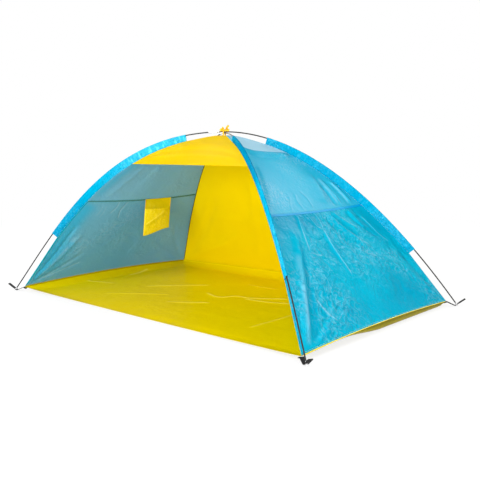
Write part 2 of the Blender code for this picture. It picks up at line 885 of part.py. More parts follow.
def build_strap(corner, material):
    """Webbing from under the floor's corner to the ground, and out under the pin."""
    crossing, climb, slope = corner_places(corner)
    outward_way = corner_direction(corner)
    under = CLOTH / 2.0 + STRAP_THICKNESS / 2.0 + CLEARANCE * 2.0 + HEM_SEAT
    tucked = outward_way * (HALF_DIAGONAL - STRAP_TUCK)
    edge = outward_way * (HALF_DIAGONAL + STRAP_EAR) + UP * (CORNER_HEIGHT - under)
    further_in = tucked - outward_way * (STRAP_WIDTH / 2.0)
    start = tucked + UP * (floor_height(further_in.x, further_in.y) - under + HEM_SEAT)
    start.z = min(start.z, edge.z)
    fold_place = crossing - slope * FOLD_TO_PIN
    end = crossing + slope * (PIN_TO_HINGE - STRAP_THICKNESS / 2.0 - CLEARANCE)
    line = [start, edge, fold_place, end]
    strap = ribbon(f"corner_strap_{corner}", line, side_way(corner), STRAP_WIDTH, STRAP_THICKNESS, material)
    drill = ring_bar(f"hole_for_eyelet_{corner}", crossing, climb, side_way(corner), eyelet_barrel() + CLEARANCE)
    boolean(strap, drill, "DIFFERENCE")


EYELET_SIDES = 10


def eyelet_barrel():
    """Outer radius of an eyelet's barrel."""
    return EYELET_HOLE / 2.0 + EYELET_METAL


def ring_bar(name, centre, axis, side, radius):
    """A bar that runs past both faces of a strap."""
    reach = axis * (STRAP_THICKNESS / 2.0 + OVERRUN)
    square = axis.cross(side)
    rings = [ring(centre + way, side, square, radius, EYELET_SIDES) for way in (-reach, reach)]
    return mesh_object(name, *skin(rings), bpy.data.materials["webbing"])


def build_eyelet(corner, material):
    """Two flanges and the barrel between them, round the pin."""
    crossing, climb, _ = corner_places(corner)
    side = side_way(corner)
    square = climb.cross(side)
    low = STRAP_THICKNESS / 2.0 + CLEARANCE
    high = low + EYELET_METAL
    hole, barrel, flange = EYELET_HOLE / 2.0, eyelet_barrel(), EYELET_FLANGE / 2.0
    profile = [(-high, hole), (-high, flange), (-low, flange), (-low, barrel)]
    profile += [(low, barrel), (low, flange), (high, flange), (high, hole)]
    rings = [ring(crossing + climb * up, side, square, radius, EYELET_SIDES) for up, radius in profile]
    points, faces = skin(rings, closed_ends=False)
    last = (len(rings) - 1) * EYELET_SIDES
    for i in range(EYELET_SIDES):
        j = (i + 1) % EYELET_SIDES
        faces.append((last + i, last + j, j, i))
    mesh_object(f"eyelet_{corner}", points, faces, material)


TAB_ROUND_STEPS = 6


def build_peg_tab(corner, material):
    """The strap's free end, which folds up and down beyond the eyelet."""
    crossing, climb, slope = corner_places(corner)
    side = side_way(corner)
    hinge = crossing + slope * PIN_TO_HINGE
    half = STRAP_THICKNESS / 2.0
    outline = []
    for i in range(TAB_ROUND_STEPS + 1):
        angle = math.pi / 2.0 + math.pi * i / TAB_ROUND_STEPS
        outline.append((math.cos(angle) * half, math.sin(angle) * half))
    outline += [(TAB_LENGTH, -half), (TAB_LENGTH, half)]
    tab = prism(f"peg_tab_{corner}", outline, slope, climb, side, STRAP_WIDTH, material)
    tab.data.transform(Matrix.Translation(hinge))


# Peak: the patch and the ribbon


def surface_height(reach):
    """Height of the ridges' mean at a distance from the tent's middle line."""
    total = 0.0
    for corner in CORNER_SIGNS:
        total += RIDGES[corner].at(run_at_reach(corner, reach)).z
    return total / len(CORNER_SIGNS)


PATCH_DROP = CLOTH / 2.0 + PATCH / 2.0 + CLEARANCE * 4.0
PATCH_SHARES = (0.2, 0.5, 0.8, 1.0)


def build_patch(colour):
    """A square of cloth under the peak, in the shape of the four faces above it."""
    order = list(CORNER_SIGNS)
    rings = []
    for share in PATCH_SHARES:
        reach = PATCH_REACH * share
        loop = []
        for i, corner in enumerate(order):
            here = RIDGES[corner].at(run_at_reach(corner, reach))
            there = RIDGES[order[(i + 1) % 4]].at(run_at_reach(order[(i + 1) % 4], reach))
            loop.append(here)
            loop.append((here + there) / 2.0)
        rings.append(loop)
    points, faces = [], []
    count = len(rings[0])
    for lift in (-PATCH_DROP + PATCH / 2.0, -PATCH_DROP - PATCH / 2.0):
        points.append(UP * (PEAK_HEIGHT + lift))
        points += [point + UP * lift for loop in rings for point in loop]
    shift = len(points) // 2
    for base, turned in ((0, False), (shift, True)):
        for i in range(count):
            j = (i + 1) % count
            made = [(base, base + 1 + i, base + 1 + j)]
            for row in range(len(rings) - 1):
                low, high = base + 1 + row * count, base + 1 + (row + 1) * count
                made.append((low + i, high + i, high + j, low + j))
            faces += [tuple(reversed(face)) if turned else face for face in made]
    last = 1 + (len(rings) - 1) * count
    for i in range(count):
        j = (i + 1) % count
        faces.append((last + i, shift + last + i, shift + last + j, last + j))
    mesh_object("peak_patch", points, faces, colour)


KNOT_RINGS = 7
KNOT_SIDES = 10


def build_ribbon_tie(material):
    """One ribbon: a band over the crossing, a knot on it and three loose ends."""
    leg = RIBBON_LEG_GAP + RIBBON / 2.0
    top = CROSSING_HEIGHT + POLE_DIAMETER / 2.0 + CLEARANCE + RIBBON / 2.0
    reach = leg / abs(corner_direction("front_right").y)
    seat = surface_height(reach) - PATCH_DROP + PATCH / 2.0 + CLEARANCE * 2.0
    line = [Vector((0, -leg, seat)), Vector((0, -leg, top)), Vector((0, leg, top)), Vector((0, leg, seat))]
    band = ribbon("ribbon_tie", line, Vector((1, 0, 0)), RIBBON_WIDTH, RIBBON, material)
    knot_middle = UP * (top + KNOT_HEIGHT / 2.0 - RIBBON / 2.0)
    rings = []
    for i in range(KNOT_RINGS):
        lift = -math.cos(math.pi * (i + 0.5) / KNOT_RINGS)
        spread = math.sqrt(1.0 - lift * lift) / 2.0
        loop = []
        for k in range(KNOT_SIDES):
            angle = 2.0 * math.pi * k / KNOT_SIDES
            across = Vector((math.cos(angle) * KNOT_WIDTH, math.sin(angle) * KNOT_DEPTH, 0.0))
            loop.append(knot_middle + across * spread + UP * (lift * KNOT_HEIGHT / 2.0))
        rings.append(loop)
    knot = mesh_object("knot_shape", *skin(rings), material, True)
    boolean(band, knot, "UNION")
    right = Vector((math.cos(BOW_TURN), math.sin(BOW_TURN), 0.0))
    for name, places in RIBBON_END_SHARES.items():
        path = [knot_middle + (right * aside + UP * climb) * KNOT_WIDTH for aside, climb in places]
        tail = ribbon(name, path, right.cross(UP), TAIL_WIDTH, RIBBON, material)
        boolean(band, tail, "UNION")


# Pocket


POCKET_COLUMNS = 12
OVER_MOUTH_SHARES = (0.0, 0.35, 0.7, 0.98, 1.0)
POUCH_SHARES = (0.0, 0.12, 0.27, 0.45, 0.63, 0.8, 0.92, 1.0)
HOLLOW_TOP_SHARE = -0.06
ACROSS_POWER = 0.6
DOWN_POWER = 0.7


def pocket_frame(seam_row):
    """The pocket's upper front corner, and its directions along, down and into the tent."""
    seam = Route(seam_row)
    start, end = seam.at(POCKET_START), seam.at(POCKET_START + POCKET_WIDTH)
    along = (end - start).normalized()
    down = (along * along.z - UP).normalized()
    inward_way = down.cross(along).normalized()
    if inward_way.dot(start) > 0.0:
        inward_way = -inward_way
    middle = seam.at(POCKET_START + POCKET_WIDTH / 2.0)
    off_line = middle - (start + end) / 2.0
    bulge = max(off_line.dot(inward_way), 0.0)
    dip = max(off_line.dot(down), 0.0)
    stand_off = CLOTH + POCKET_STAND_OFF + CLEARANCE + bulge
    return start + inward_way * stand_off + down * (CLOTH / 2.0 + dip), along, down, inward_way


def build_pocket(seam_row, colour):
    """A pouch that hangs from the left wall's seam: back, front and open mouth."""
    origin, along, down, inward_way = pocket_frame(seam_row)
    mouth = POCKET_MOUTH_DROP + CLEARANCE * 2.0

    def place(u, depth, height):
        lean = along * (-POCKET_LEAN * depth / POCKET_FRONT_DROP)
        return origin + along * (POCKET_WIDTH * u) + lean + down * depth + inward_way * height

    def depth_at(u, share):
        bottom = blend(POCKET_FRONT_DROP, POCKET_BACK_DROP, eased(u))
        return blend(mouth, bottom, share)

    def thickness(u, share):
        swell = math.sin(math.pi * u) ** ACROSS_POWER * (1.0 - max(share, 0.0)) ** DOWN_POWER
        return CLOTH * 2.0 + POCKET_FULLNESS * swell

    def grid(shares, edge, height_at):
        rows = []
        for share in shares:
            places = [blend(edge, 1.0 - edge, i / POCKET_COLUMNS) for i in range(POCKET_COLUMNS + 1)]
            rows.append([place(u, depth_at(u, share), height_at(u, share)) for u in places])
        return rows

    front, back = [], []
    for share in OVER_MOUTH_SHARES:
        depth = POCKET_MOUTH_DROP * share
        places = [i / POCKET_COLUMNS for i in range(POCKET_COLUMNS + 1)]
        front.append([place(u, depth, CLOTH / 2.0) for u in places])
        back.append([place(u, depth, -CLOTH / 2.0) for u in places])
    front += grid(POUCH_SHARES, 0.0, lambda u, share: thickness(u, share) - CLOTH / 2.0)
    back += grid(POUCH_SHARES, 0.0, lambda u, share: -CLOTH / 2.0)
    pouch = two_sided("pocket", front, back, colour)

    hem = POCKET_HEM / POCKET_WIDTH
    inner_shares = (HOLLOW_TOP_SHARE, *POUCH_SHARES[:-1])
    hollow_front = grid(inner_shares, hem, lambda u, share: thickness(u, share) - CLOTH * 1.5)
    hollow_back = grid(inner_shares, hem, lambda u, share: CLOTH / 2.0)
    hollow = two_sided("pocket_hollow", hollow_front, hollow_back, colour)
    boolean(pouch, hollow, "DIFFERENCE")


def build_reinforcements(grid, colour):
    """Small triangles under the visor, where its hem meets the ridges."""
    for label, near, next_one in (("left", 0, 1), ("right", -1, -2)):
        corner = grid[0][near]
        along = (grid[0][next_one] - corner).normalized()
        climb = grid[1][near] - corner
        square = along.cross(climb).normalized()
        second = square.cross(along)
        if square.z > 0.0:
            square = -square
        place = corner + square * (CLOTH + CLEARANCE * 2.0)
        sized = [
            (x * REINFORCEMENT, y * REINFORCEMENT + CLEARANCE) for x, y in REINFORCEMENT_SHARES
        ]
        patch = prism(f"visor_reinforcement_{label}", sized, along, second, square, CLOTH, colour)
        patch.data.transform(Matrix.Translation(place))


def main():
    remove_everything()
    blue = finish("blue_polyester", (0.02, 0.52, 0.80), 0.45)
    yellow = finish("yellow_polyester", (0.86, 0.68, 0.01), 0.5)
    sheet_yellow = finish("yellow_groundsheet", (0.68, 0.52, 0.01), 0.35)
    materials = {
        "fibreglass": finish("fibreglass", (0.05, 0.05, 0.055), 0.4),
        "steel": finish("steel", (0.75, 0.75, 0.76), 0.3, 1.0),
        "cord": finish("shock_cord", (0.85, 0.85, 0.83), 0.8),
    }
    webbing = finish("webbing", (0.02, 0.02, 0.02), 0.8)
    ribbon_finish = finish("ribbon", (0.9, 0.6, 0.05), 0.6)

    upper = build_pole("pole_1", "front_left", "back_right", materials)
    lower = build_pole("pole_2", "back_left", "front_right", materials)
    halves = {"front_left": (upper, False), "back_right": (upper, True)}
    halves.update({"back_left": (lower, False), "front_right": (lower, True)})
    for corner, (route, turned) in halves.items():
        runs = [run for row in pole_rows(route) for run in row]
        if turned:
            runs = sorted(route.length - run for run in runs)
        build_sleeve(corner, sorted(set(runs)), blue)
        build_tip(corner, materials["steel"])
        build_strap(corner, webbing)
        build_eyelet(corner, materials["steel"])
        build_peg_tab(corner, webbing)

    left = ("back_left", "front_left")
    right = ("front_right", "back_right")
    back = ("back_right", "back_left")
    front = ("front_left", "front_right")
    left_lower, _ = build_side_wall("left", left, (), 0.0, blue)
    right_lower, _ = build_side_wall("right", right, RIGHT_FOLD_SHARES, CREASE_HEIGHT, blue)
    build_back_wall(back, yellow)
    visor = build_visor(front, yellow)
    build_floor(sheet_yellow)
    build_piping("piping_left", left_lower[0], out_of(left), yellow)
    build_piping("piping_right", right_lower[0], out_of(right), yellow)
    build_reinforcements(visor, yellow)
    build_patch(yellow)
    build_ribbon_tie(ribbon_finish)
    build_pocket(left_lower[-1][::-1], yellow)


main()
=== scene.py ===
import math

import bmesh
import bpy
import numpy as np
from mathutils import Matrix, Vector


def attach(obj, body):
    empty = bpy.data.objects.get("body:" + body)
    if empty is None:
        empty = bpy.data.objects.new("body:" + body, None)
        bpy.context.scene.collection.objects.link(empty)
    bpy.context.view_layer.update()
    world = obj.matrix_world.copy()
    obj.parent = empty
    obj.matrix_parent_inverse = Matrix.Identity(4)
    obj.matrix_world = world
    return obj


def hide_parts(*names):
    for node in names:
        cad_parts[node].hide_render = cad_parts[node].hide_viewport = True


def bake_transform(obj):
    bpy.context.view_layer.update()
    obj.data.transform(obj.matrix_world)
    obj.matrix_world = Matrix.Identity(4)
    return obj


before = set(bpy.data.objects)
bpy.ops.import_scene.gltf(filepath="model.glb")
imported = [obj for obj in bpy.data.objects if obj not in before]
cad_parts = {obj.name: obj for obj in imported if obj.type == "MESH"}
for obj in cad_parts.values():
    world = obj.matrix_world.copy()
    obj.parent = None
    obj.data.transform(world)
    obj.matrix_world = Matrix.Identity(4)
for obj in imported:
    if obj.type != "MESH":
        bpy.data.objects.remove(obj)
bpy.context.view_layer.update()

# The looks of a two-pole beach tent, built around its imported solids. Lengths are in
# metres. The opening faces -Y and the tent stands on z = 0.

# The camera stands at the photograph's place

CAMERA_PLACE = (2.7677, -2.9632, 0.9026)
CAMERA_DIP, CAMERA_TURN = 0.1343, 0.7284
LENS, SENSOR_WIDTH = 50.84, 36.0
NEAREST, FARTHEST = 0.05, 100.0


def placed(name, data):
    """An object for this data, in the scene."""
    made = bpy.data.objects.new(name, data)
    bpy.context.scene.collection.objects.link(made)
    return made


def add_camera():
    made = bpy.data.cameras.new("camera")
    made.lens, made.sensor_width = LENS, SENSOR_WIDTH
    made.clip_start, made.clip_end = NEAREST, FARTHEST
    camera = placed("camera", made)
    camera.location = CAMERA_PLACE
    camera.rotation_euler = (math.pi / 2.0 - CAMERA_DIP, 0.0, CAMERA_TURN)
    bpy.context.scene.camera = camera


add_camera()

# Sizes that the solids have too

UP = np.array([0.0, 0.0, 1.0])
FLOOR_WIDTH, FLOOR_DEPTH = 2.20, 1.40
CROSSING_HEIGHT = 1.00
CLEARANCE = 0.0003
SOLID_CLOTH = 0.0015
CORNER_HEIGHT = 0.026
SIDE_HEM_RISE = 0.019
FRONT_EDGE_DROP = 0.022
FRONT_EDGE_INSET = 0.034
RIM_WIDTH = 0.055
WALL_SEAM_HEIGHT = 0.582
WALL_SEAM_SAG = 0.012
VISOR_HEM_HEIGHT = 0.809
PEAK_OPENING = 0.030
WALL_BOW_SHARE = 0.028
POLE_DIAMETER = 0.007
POLE_BORE = 0.0038
TUBE_COUNT = 6
FOOT_REACH = 0.065
FOOT_ANGLE = math.radians(53.7)
LOW_HANDLE_SHARE, TOP_HANDLE_SHARE = 0.41, 0.55
JOINT_SHIFT = 0.050
FERRULE_LENGTH, FERRULE_DIAMETER = 0.066, 0.0096
PIN_DIAMETER, PIN_LENGTH = 0.0044, 0.0160
SHOULDER_LENGTH = 0.0060
SPIGOT_LENGTH, SPIGOT_DIAMETER = 0.0180, 0.0031
FOOT_GAPS = {"front_left": 0.458, "front_right": 0.425, "back_right": 0.413, "back_left": 0.432}
PEAK_GAPS = {"front_left": 0.236, "front_right": 0.205, "back_right": 0.259, "back_left": 0.230}
FULLNESS = {"front_left": 0.963, "front_right": 0.803, "back_right": 0.782, "back_left": 0.850}
SIGNS = {"front_left": (-1, -1), "front_right": (1, -1), "back_right": (1, 1), "back_left": (-1, 1)}
DEPTH_AT_ENDS, DEPTH_AT_MIDDLE = 0.035, 0.044
PEAK_HEIGHT = 0.980
HEM_SEAT = SOLID_CLOTH / 2.0 + CLEARANCE
LEFT = ("back_left", "front_left")
RIGHT = ("front_right", "back_right")
BACK = ("back_right", "back_left")
FRONT = ("front_left", "front_right")

# Lines and faces


def mix(first, last, share):
    return first + (last - first) * share


def eased(share):
    """0 to 1 with a level start and end."""
    held = np.clip(share, 0.0, 1.0)
    return held * held * (3.0 - 2.0 * held)


def arch(share):
    """0 at both ends and 1 in the middle."""
    return 4.0 * share * (1.0 - share)


def unit(way):
    way = np.asarray(way, float)
    return way / np.linalg.norm(way, axis=-1, keepdims=True)


def paired(first, second):
    """Two arrays as one of pairs."""
    return np.stack([first, second], axis=-1)


class Line:
    """A line through space that is read by the distance along it."""

    def __init__(self, points):
        self.points = np.asarray(points, float)
        steps = np.linalg.norm(np.diff(self.points, axis=0), axis=1)
        self.runs = np.concatenate([[0.0], np.cumsum(steps)])
        self.length = float(self.runs[-1])

    def read(self, values, run):
        """Values that belong to the line's points, at a distance between them."""
        return np.stack([np.interp(run, self.runs, values[:, k]) for k in range(3)], axis=-1)

    def at(self, run):
        return self.read(self.points, run)

    def heading(self, run):
        step = self.length / len(self.points)
        ahead = self.at(np.minimum(run + step, self.length))
        return unit(ahead - self.at(np.maximum(run - step, 0.0)))

    def run_where(self, measure, target):
        """The distance at which a measure that grows along the line meets its target."""
        low, high = 0.0, self.length
        for _ in range(60):
            middle = (low + high) / 2.0
            if measure(self.at(middle)) < target:
                low = middle
            else:
                high = middle
        return low


LINE_STEPS = 240
HALF_DIAGONAL = math.hypot(FLOOR_WIDTH, FLOOR_DEPTH) / 2.0
FOOT_LIFT = PIN_DIAMETER / 2.0 * math.cos(FOOT_ANGLE)
LOWER_CROSSING = CROSSING_HEIGHT - POLE_DIAMETER - CLEARANCE
CROSSINGS = {
    "front_left": CROSSING_HEIGHT,
    "back_right": CROSSING_HEIGHT,
    "front_right": LOWER_CROSSING,
    "back_left": LOWER_CROSSING,
}


def corner_direction(corner):
    """From the middle of the floor to a corner, level."""
    across, along = SIGNS[corner]
    return unit([across * FLOOR_WIDTH, along * FLOOR_DEPTH, 0.0])


def side_way(corner):
    """Level and square to the plane that holds a corner's pole."""
    return np.cross(corner_direction(corner), UP)


def half_pole(corner):
    """A half pole's middle line, from its foot to the crossing."""
    crossing = CROSSINGS[corner]
    reach = HALF_DIAGONAL + FOOT_REACH
    fullness = FULLNESS[corner]
    rise = fullness * LOW_HANDLE_SHARE * reach
    low = (reach - rise * math.cos(FOOT_ANGLE), FOOT_LIFT + rise * math.sin(FOOT_ANGLE))
    top = (fullness * TOP_HANDLE_SHARE * reach, crossing)
    ends = np.array([(reach, FOOT_LIFT), low, top, (0.0, crossing)])
    t = np.linspace(0.0, 1.0, LINE_STEPS + 1)[:, None]
    flat = ends[0] * (1 - t) ** 3 + ends[1] * 3 * (1 - t) ** 2 * t
    flat = flat + ends[2] * 3 * (1 - t) * t**2 + ends[3] * t**3
    return Line(flat[:, :1] * corner_direction(corner) + flat[:, 1:] * UP)


HALF_POLES = {corner: half_pole(corner) for corner in SIGNS}


def whole_pole(first, second):
    """Both halves as one line, from the first corner's foot to the second's."""
    return Line(np.concatenate([HALF_POLES[first].points, HALF_POLES[second].points[-2::-1]]))


def below(route, run):
    """The direction square to the pole, towards the fabric."""
    heading = route.heading(run)
    return unit(heading * heading[..., 2:] - UP)


def seam_depth(corner, run):
    """From the pole's middle to the seam under it."""
    route, start = HALF_POLES[corner], FOOT_GAPS[corner]
    end = route.length - PEAK_GAPS[corner]
    past = mix(DEPTH_AT_ENDS, CROSSINGS[corner] - PEAK_HEIGHT, eased((run - end) / PEAK_GAPS[corner]))
    along = mix(DEPTH_AT_ENDS, DEPTH_AT_MIDDLE, np.sin(math.pi * (run - start) / (end - start)))
    return np.where(run > end, past, along)


def ridge_line(corner):
    """The seam where two faces meet under a pole, from floor corner to peak."""
    route, start = HALF_POLES[corner], FOOT_GAPS[corner]
    floor_corner = corner_direction(corner) * HALF_DIAGONAL + UP * CORNER_HEIGHT
    runs = np.linspace(start, route.length, LINE_STEPS + 1)
    upper = route.at(runs) + below(route, runs) * seam_depth(corner, runs)[:, None]
    share = np.linspace(0.0, 1.0, LINE_STEPS, endpoint=False)[:, None]
    points = np.concatenate([mix(floor_corner, upper[0], share), upper])
    points[-1] = UP * PEAK_HEIGHT
    return Line(points)


RIDGES = {corner: ridge_line(corner) for corner in SIGNS}


def run_at_height(corner, height):
    return RIDGES[corner].run_where(lambda point: point[2], height)


def run_at_reach(corner, reach):
    """Where the ridge comes within a distance of the tent's middle line."""
    return RIDGES[corner].run_where(lambda point: -math.hypot(point[0], point[1]), -reach)


def out_of(corners):
    """The direction in which a wall faces, level."""
    first, second = (corner_direction(corner) for corner in corners)
    return unit(np.cross(second - first, UP))


def hem_height(share):
    """Rise of the side and back hems between their corners."""
    return SIDE_HEM_RISE * arch(share)


EDGE_SETBACK = 0.0004


class Face:
    """A fabric face between two ridges. Across is 0 at the first ridge, up is 0 at its lower edge."""

    def __init__(self, corners, starts, ends, climbs, lift=None):
        self.corners, self.starts, self.ends = corners, starts, ends
        self.climbs, self.lift, self.relief = climbs, lift, None
        self.facing = out_of(corners)
        low, high = self.edges(np.linspace(0.0, 1.0, 40))
        self.height = Line((low + high) / 2.0).length

    def edges(self, up):
        first, last = (RIDGES[corner] for corner in self.corners)
        runs = [mix(start, end, up) for start, end in zip(self.starts, self.ends)]
        return first.at(runs[0]), last.at(runs[1])

    def width(self, up):
        low, high = self.edges(up)
        return np.linalg.norm(high - low, axis=-1)

    def plain(self, across, up):
        """The face without creases. Tension draws it inwards between its ridges, most at half height."""
        low, high = self.edges(up)
        width = self.width(up)
        setback = (EDGE_SETBACK / np.maximum(width, EDGE_SETBACK * 4.0))[..., None]
        share = mix(setback, 1.0 - setback, across[..., None])
        depth = width * WALL_BOW_SHARE * arch(across) * np.sin(math.pi * mix(*self.climbs, up))
        moved = -self.facing * depth[..., None]
        if self.lift:
            moved = moved + UP * self.lift(across, up)[..., None]
        return mix(low, high, share) + moved

    def flat(self, across, up):
        """The same place on the cloth as it was cut: sideways from its middle, and up from its edge."""
        return (across - 0.5) * self.width(up), up * self.height

    def normals(self, across, up):
        step = 0.002
        low, high = np.maximum(across - step, 0.0), np.minimum(across + step, 1.0)
        along = self.plain(high, up) - self.plain(low, up)
        low, high = np.maximum(up - step, 0.0), np.minimum(up + step, 1.0)
        climb = self.plain(across, high) - self.plain(across, low)
        return unit(np.cross(along, climb))

    def at(self, across, up, lift=0.0):
        """Points on the cloth's middle surface, or lifted off it outwards."""
        across, up = np.broadcast_arrays(np.asarray(across, float), np.asarray(up, float))
        height = self.relief(*self.flat(across, up), across, up) if self.relief else 0.0
        return self.plain(across, up) + self.normals(across, up) * (np.asarray(height + lift)[..., None])


def lower_lift(across, up):
    return hem_height(across) * (1.0 - up) ** 2 - WALL_SEAM_SAG * arch(across) * up


def upper_lift(across, up):
    return -WALL_SEAM_SAG * arch(across) * (1.0 - up)


def back_lift(across, up):
    return hem_height(across) * np.maximum(1.0 - 2.0 * up, 0.0) ** 2


def wall_runs(corners):
    """Distances up both ridges at the hem, the wall seam, the visor hem and the peak."""
    hem = tuple(HEM_SEAT for _ in corners)
    seam = tuple(run_at_height(corner, WALL_SEAM_HEIGHT) for corner in corners)
    visor = tuple(run_at_height(corner, VISOR_HEM_HEIGHT) for corner in corners)
    return hem, seam, visor, tuple(run_at_reach(corner, PEAK_OPENING) for corner in corners)


def side_faces(corners):
    """The lower and the upper panel of a side wall."""
    hem, seam, _, peak = wall_runs(corners)
    climb = seam[0] / peak[0]
    lower = Face(corners, hem, seam, (0.0, climb), lower_lift)
    return lower, Face(corners, seam, peak, (climb, 1.0), upper_lift)


def back_face():
    hem, _, _, peak = wall_runs(BACK)
    return Face(BACK, hem, peak, (0.0, 1.0), back_lift)


def visor_face():
    _, _, visor, peak = wall_runs(FRONT)
    return Face(FRONT, visor, peak, (visor[0] / peak[0], 1.0))


LEFT_LOWER, LEFT_UPPER = side_faces(LEFT)
RIGHT_LOWER, RIGHT_UPPER = side_faces(RIGHT)
BACK_WALL = back_face()
VISOR = visor_face()

# Noise, creases and other relief of cloth. Heights are in metres, outwards.


class Noise:
    """Smooth noise over a plane, about -1 to 1, the same for the same seed."""

    CELLS = 64

    def __init__(self, seed):
        turns = np.random.default_rng(seed).uniform(0.0, 2.0 * math.pi, (self.CELLS, self.CELLS))
        self.slopes = np.cos(turns), np.sin(turns)

    def __call__(self, x, y):
        column, row = np.floor(x).astype(int), np.floor(y).astype(int)
        right, up = x - column, y - row

        def corner(i, j):
            place = (column + i) % self.CELLS, (row + j) % self.CELLS
            return self.slopes[0][place] * (right - i) + self.slopes[1][place] * (up - j)

        across = right**3 * (right * (right * 6.0 - 15.0) + 10.0)
        climb = up**3 * (up * (up * 6.0 - 15.0) + 10.0)
        low = mix(corner(0, 0), corner(1, 0), across)
        return 1.5 * mix(low, mix(corner(0, 1), corner(1, 1), across), climb)


def crumple(x, y, size, seed, octaves=3):
    """Cloth that was crushed: flat facets that meet in crests, 0 to about 1."""
    total, weight, height = 0.0, 0.0, 1.0
    warp = Noise(seed + 50), Noise(seed + 51)
    bent_x = x + size * 0.35 * warp[0](x / size * 0.8, y / size * 0.8)
    bent_y = y + size * 0.35 * warp[1](x / size * 0.8, y / size * 0.8)
    for octave in range(octaves):
        scale = size / 2.0**octave
        one = 1.0 - np.abs(Noise(seed + octave)(bent_x / scale, bent_y / scale)) * 1.6
        total, weight = total + one * height, weight + height
        height *= 0.5
    return total / weight


def spot(x, y, middle, radius):
    """1 in the middle of a soft round or oval place, 0 outside it."""
    away = np.hypot((x - middle[0]) / radius[0], (y - middle[1]) / radius[1])
    return 1.0 - eased(away)


def beside(x, y, line):
    """Signed distance from a bent line, and the share of the line passed."""
    line = np.asarray(line, float)
    steps = np.linalg.norm(np.diff(line, axis=0), axis=1)
    passed = np.concatenate([[0.0], np.cumsum(steps)]) / steps.sum()
    best = np.full(np.shape(x), 1e9)
    share, side = np.zeros(np.shape(x)), np.ones(np.shape(x))
    for i in range(len(steps)):
        ahead = (line[i + 1] - line[i]) / steps[i]
        right, up = x - line[i, 0], y - line[i, 1]
        run = np.clip(right * ahead[0] + up * ahead[1], 0.0, steps[i])
        away = np.hypot(right - ahead[0] * run, up - ahead[1] * run)
        nearer = away < best
        best = np.where(nearer, away, best)
        share = np.where(nearer, mix(passed[i], passed[i + 1], run / steps[i]), share)
        side = np.where(nearer, np.sign(ahead[0] * up - ahead[1] * right), side)
    return best * side, share


def smooth_line(places, steps=8):
    """A rounder line through the same places."""
    places = np.asarray(places, float)
    if len(places) < 3:
        return places
    padded = np.concatenate([[2 * places[0] - places[1]], places, [2 * places[-1] - places[-2]]])
    out = []
    for i in range(len(places) - 1):
        a, b, c, d = padded[i : i + 4]
        for t in np.arange(steps) / steps:
            bent = 2 * b + (c - a) * t + (2 * a - 5 * b + 4 * c - d) * t**2
            out.append(0.5 * (bent + (3 * b - a - 3 * c + d) * t**3))
    return np.array(out + [places[-1]])


PINCH, FOLD, STEP = "pinch", "fold", "step"


def stroke(x, y, kind, line, width, height, fade=0.16):
    """One crease: a pinched crest, a round fold, or a step between two facets."""
    away, share = beside(x, y, line)
    ends = eased(np.minimum(share, 1.0 - share) / fade)
    if kind == PINCH:
        shape = np.exp(-np.abs(away) / width)
    elif kind == FOLD:
        shape = np.exp(-((away / width) ** 2))
    else:
        shape = np.tanh(away / width * 2.5) * np.exp(-((away / width / 3.0) ** 2))
    return height * ends * shape


def tints(x, y, lines):
    """Shares of painted highlight (above 0) and painted shade (below 0) beside lines of (line, width, amount).
    """
    total = np.zeros(np.shape(x))
    for line, width, amount in lines:
        away, share = beside(x, y, line)
        total += amount * eased(np.minimum(share, 1.0 - share) / 0.10) * np.exp(-((away / width) ** 2))
    return np.clip(total, -1.0, 1.0)


def shades(amount):
    """Painted highlight and painted shade, as shares in a second layer of UVs."""
    return np.stack([np.maximum(amount, 0.0), np.maximum(-amount, 0.0)], axis=-1).reshape(-1, 2)


EDGE_CALM_SHARE = 0.045
CREASE_TINT_WIDTH = 0.0032


class Relief:
    """The creases of one face, and its tints of painted highlight and painted shade. The places of its strokes
    and tints are shares across and up.
    """

    def __init__(self, face, strokes, extra, tinted, zone=None, crease_tint=0.95):
        self.face, self.extra, self.zone = face, extra, zone
        self.lines = [(kind, self.on_cloth(places), width, height) for kind, width, height, *places in strokes]
        # Pinched creases get a painted highlight along them, as strong as crease_tint.
        pinched = (line for kind, line, _, _ in self.lines if kind == PINCH)
        self.tinted = [(line, CREASE_TINT_WIDTH, crease_tint) for line in pinched]
        self.tinted += [(self.on_cloth(places), width, amount) for width, amount, *places in tinted]

    def on_cloth(self, places):
        shares = np.reshape(places, (-1, 2))
        return smooth_line(paired(*self.face.flat(shares[:, 0], shares[:, 1])))

    def tint(self, x, y, across, up):
        total = tints(x, y, self.tinted)
        return np.clip(total + self.zone(x, y, across, up), -1.0, 1.0) if self.zone else total

    def __call__(self, x, y, across, up):
        total = np.zeros(np.shape(x))
        for crease in self.lines:
            total += stroke(x, y, *crease)
        total += self.extra(x, y, across, up)
        edge = np.minimum(np.minimum(across, 1.0 - across) * 2.0, np.minimum(up, 1.0 - up))
        return total * eased(edge / EDGE_CALM_SHARE)


def gathers(x, from_seam, start, end, count, height, reach, seed):
    """Short puckers that hang from a seam, unevenly spaced."""
    draws = np.random.default_rng(seed)
    total = np.zeros(np.shape(x))
    for i in range(count):
        middle = mix(start, end, (i + draws.uniform(0.1, 0.9)) / count)
        wide = draws.uniform(0.0028, 0.0055)
        long = reach * draws.uniform(0.5, 1.4)
        lean = draws.uniform(-0.25, 0.35)
        size = height * draws.uniform(0.5, 1.2)
        off = (x - middle - from_seam * lean) / (wide + from_seam * 0.06)
        total += size * np.exp(-(off**2)) * np.exp(-((from_seam / long) ** 2))
    return total


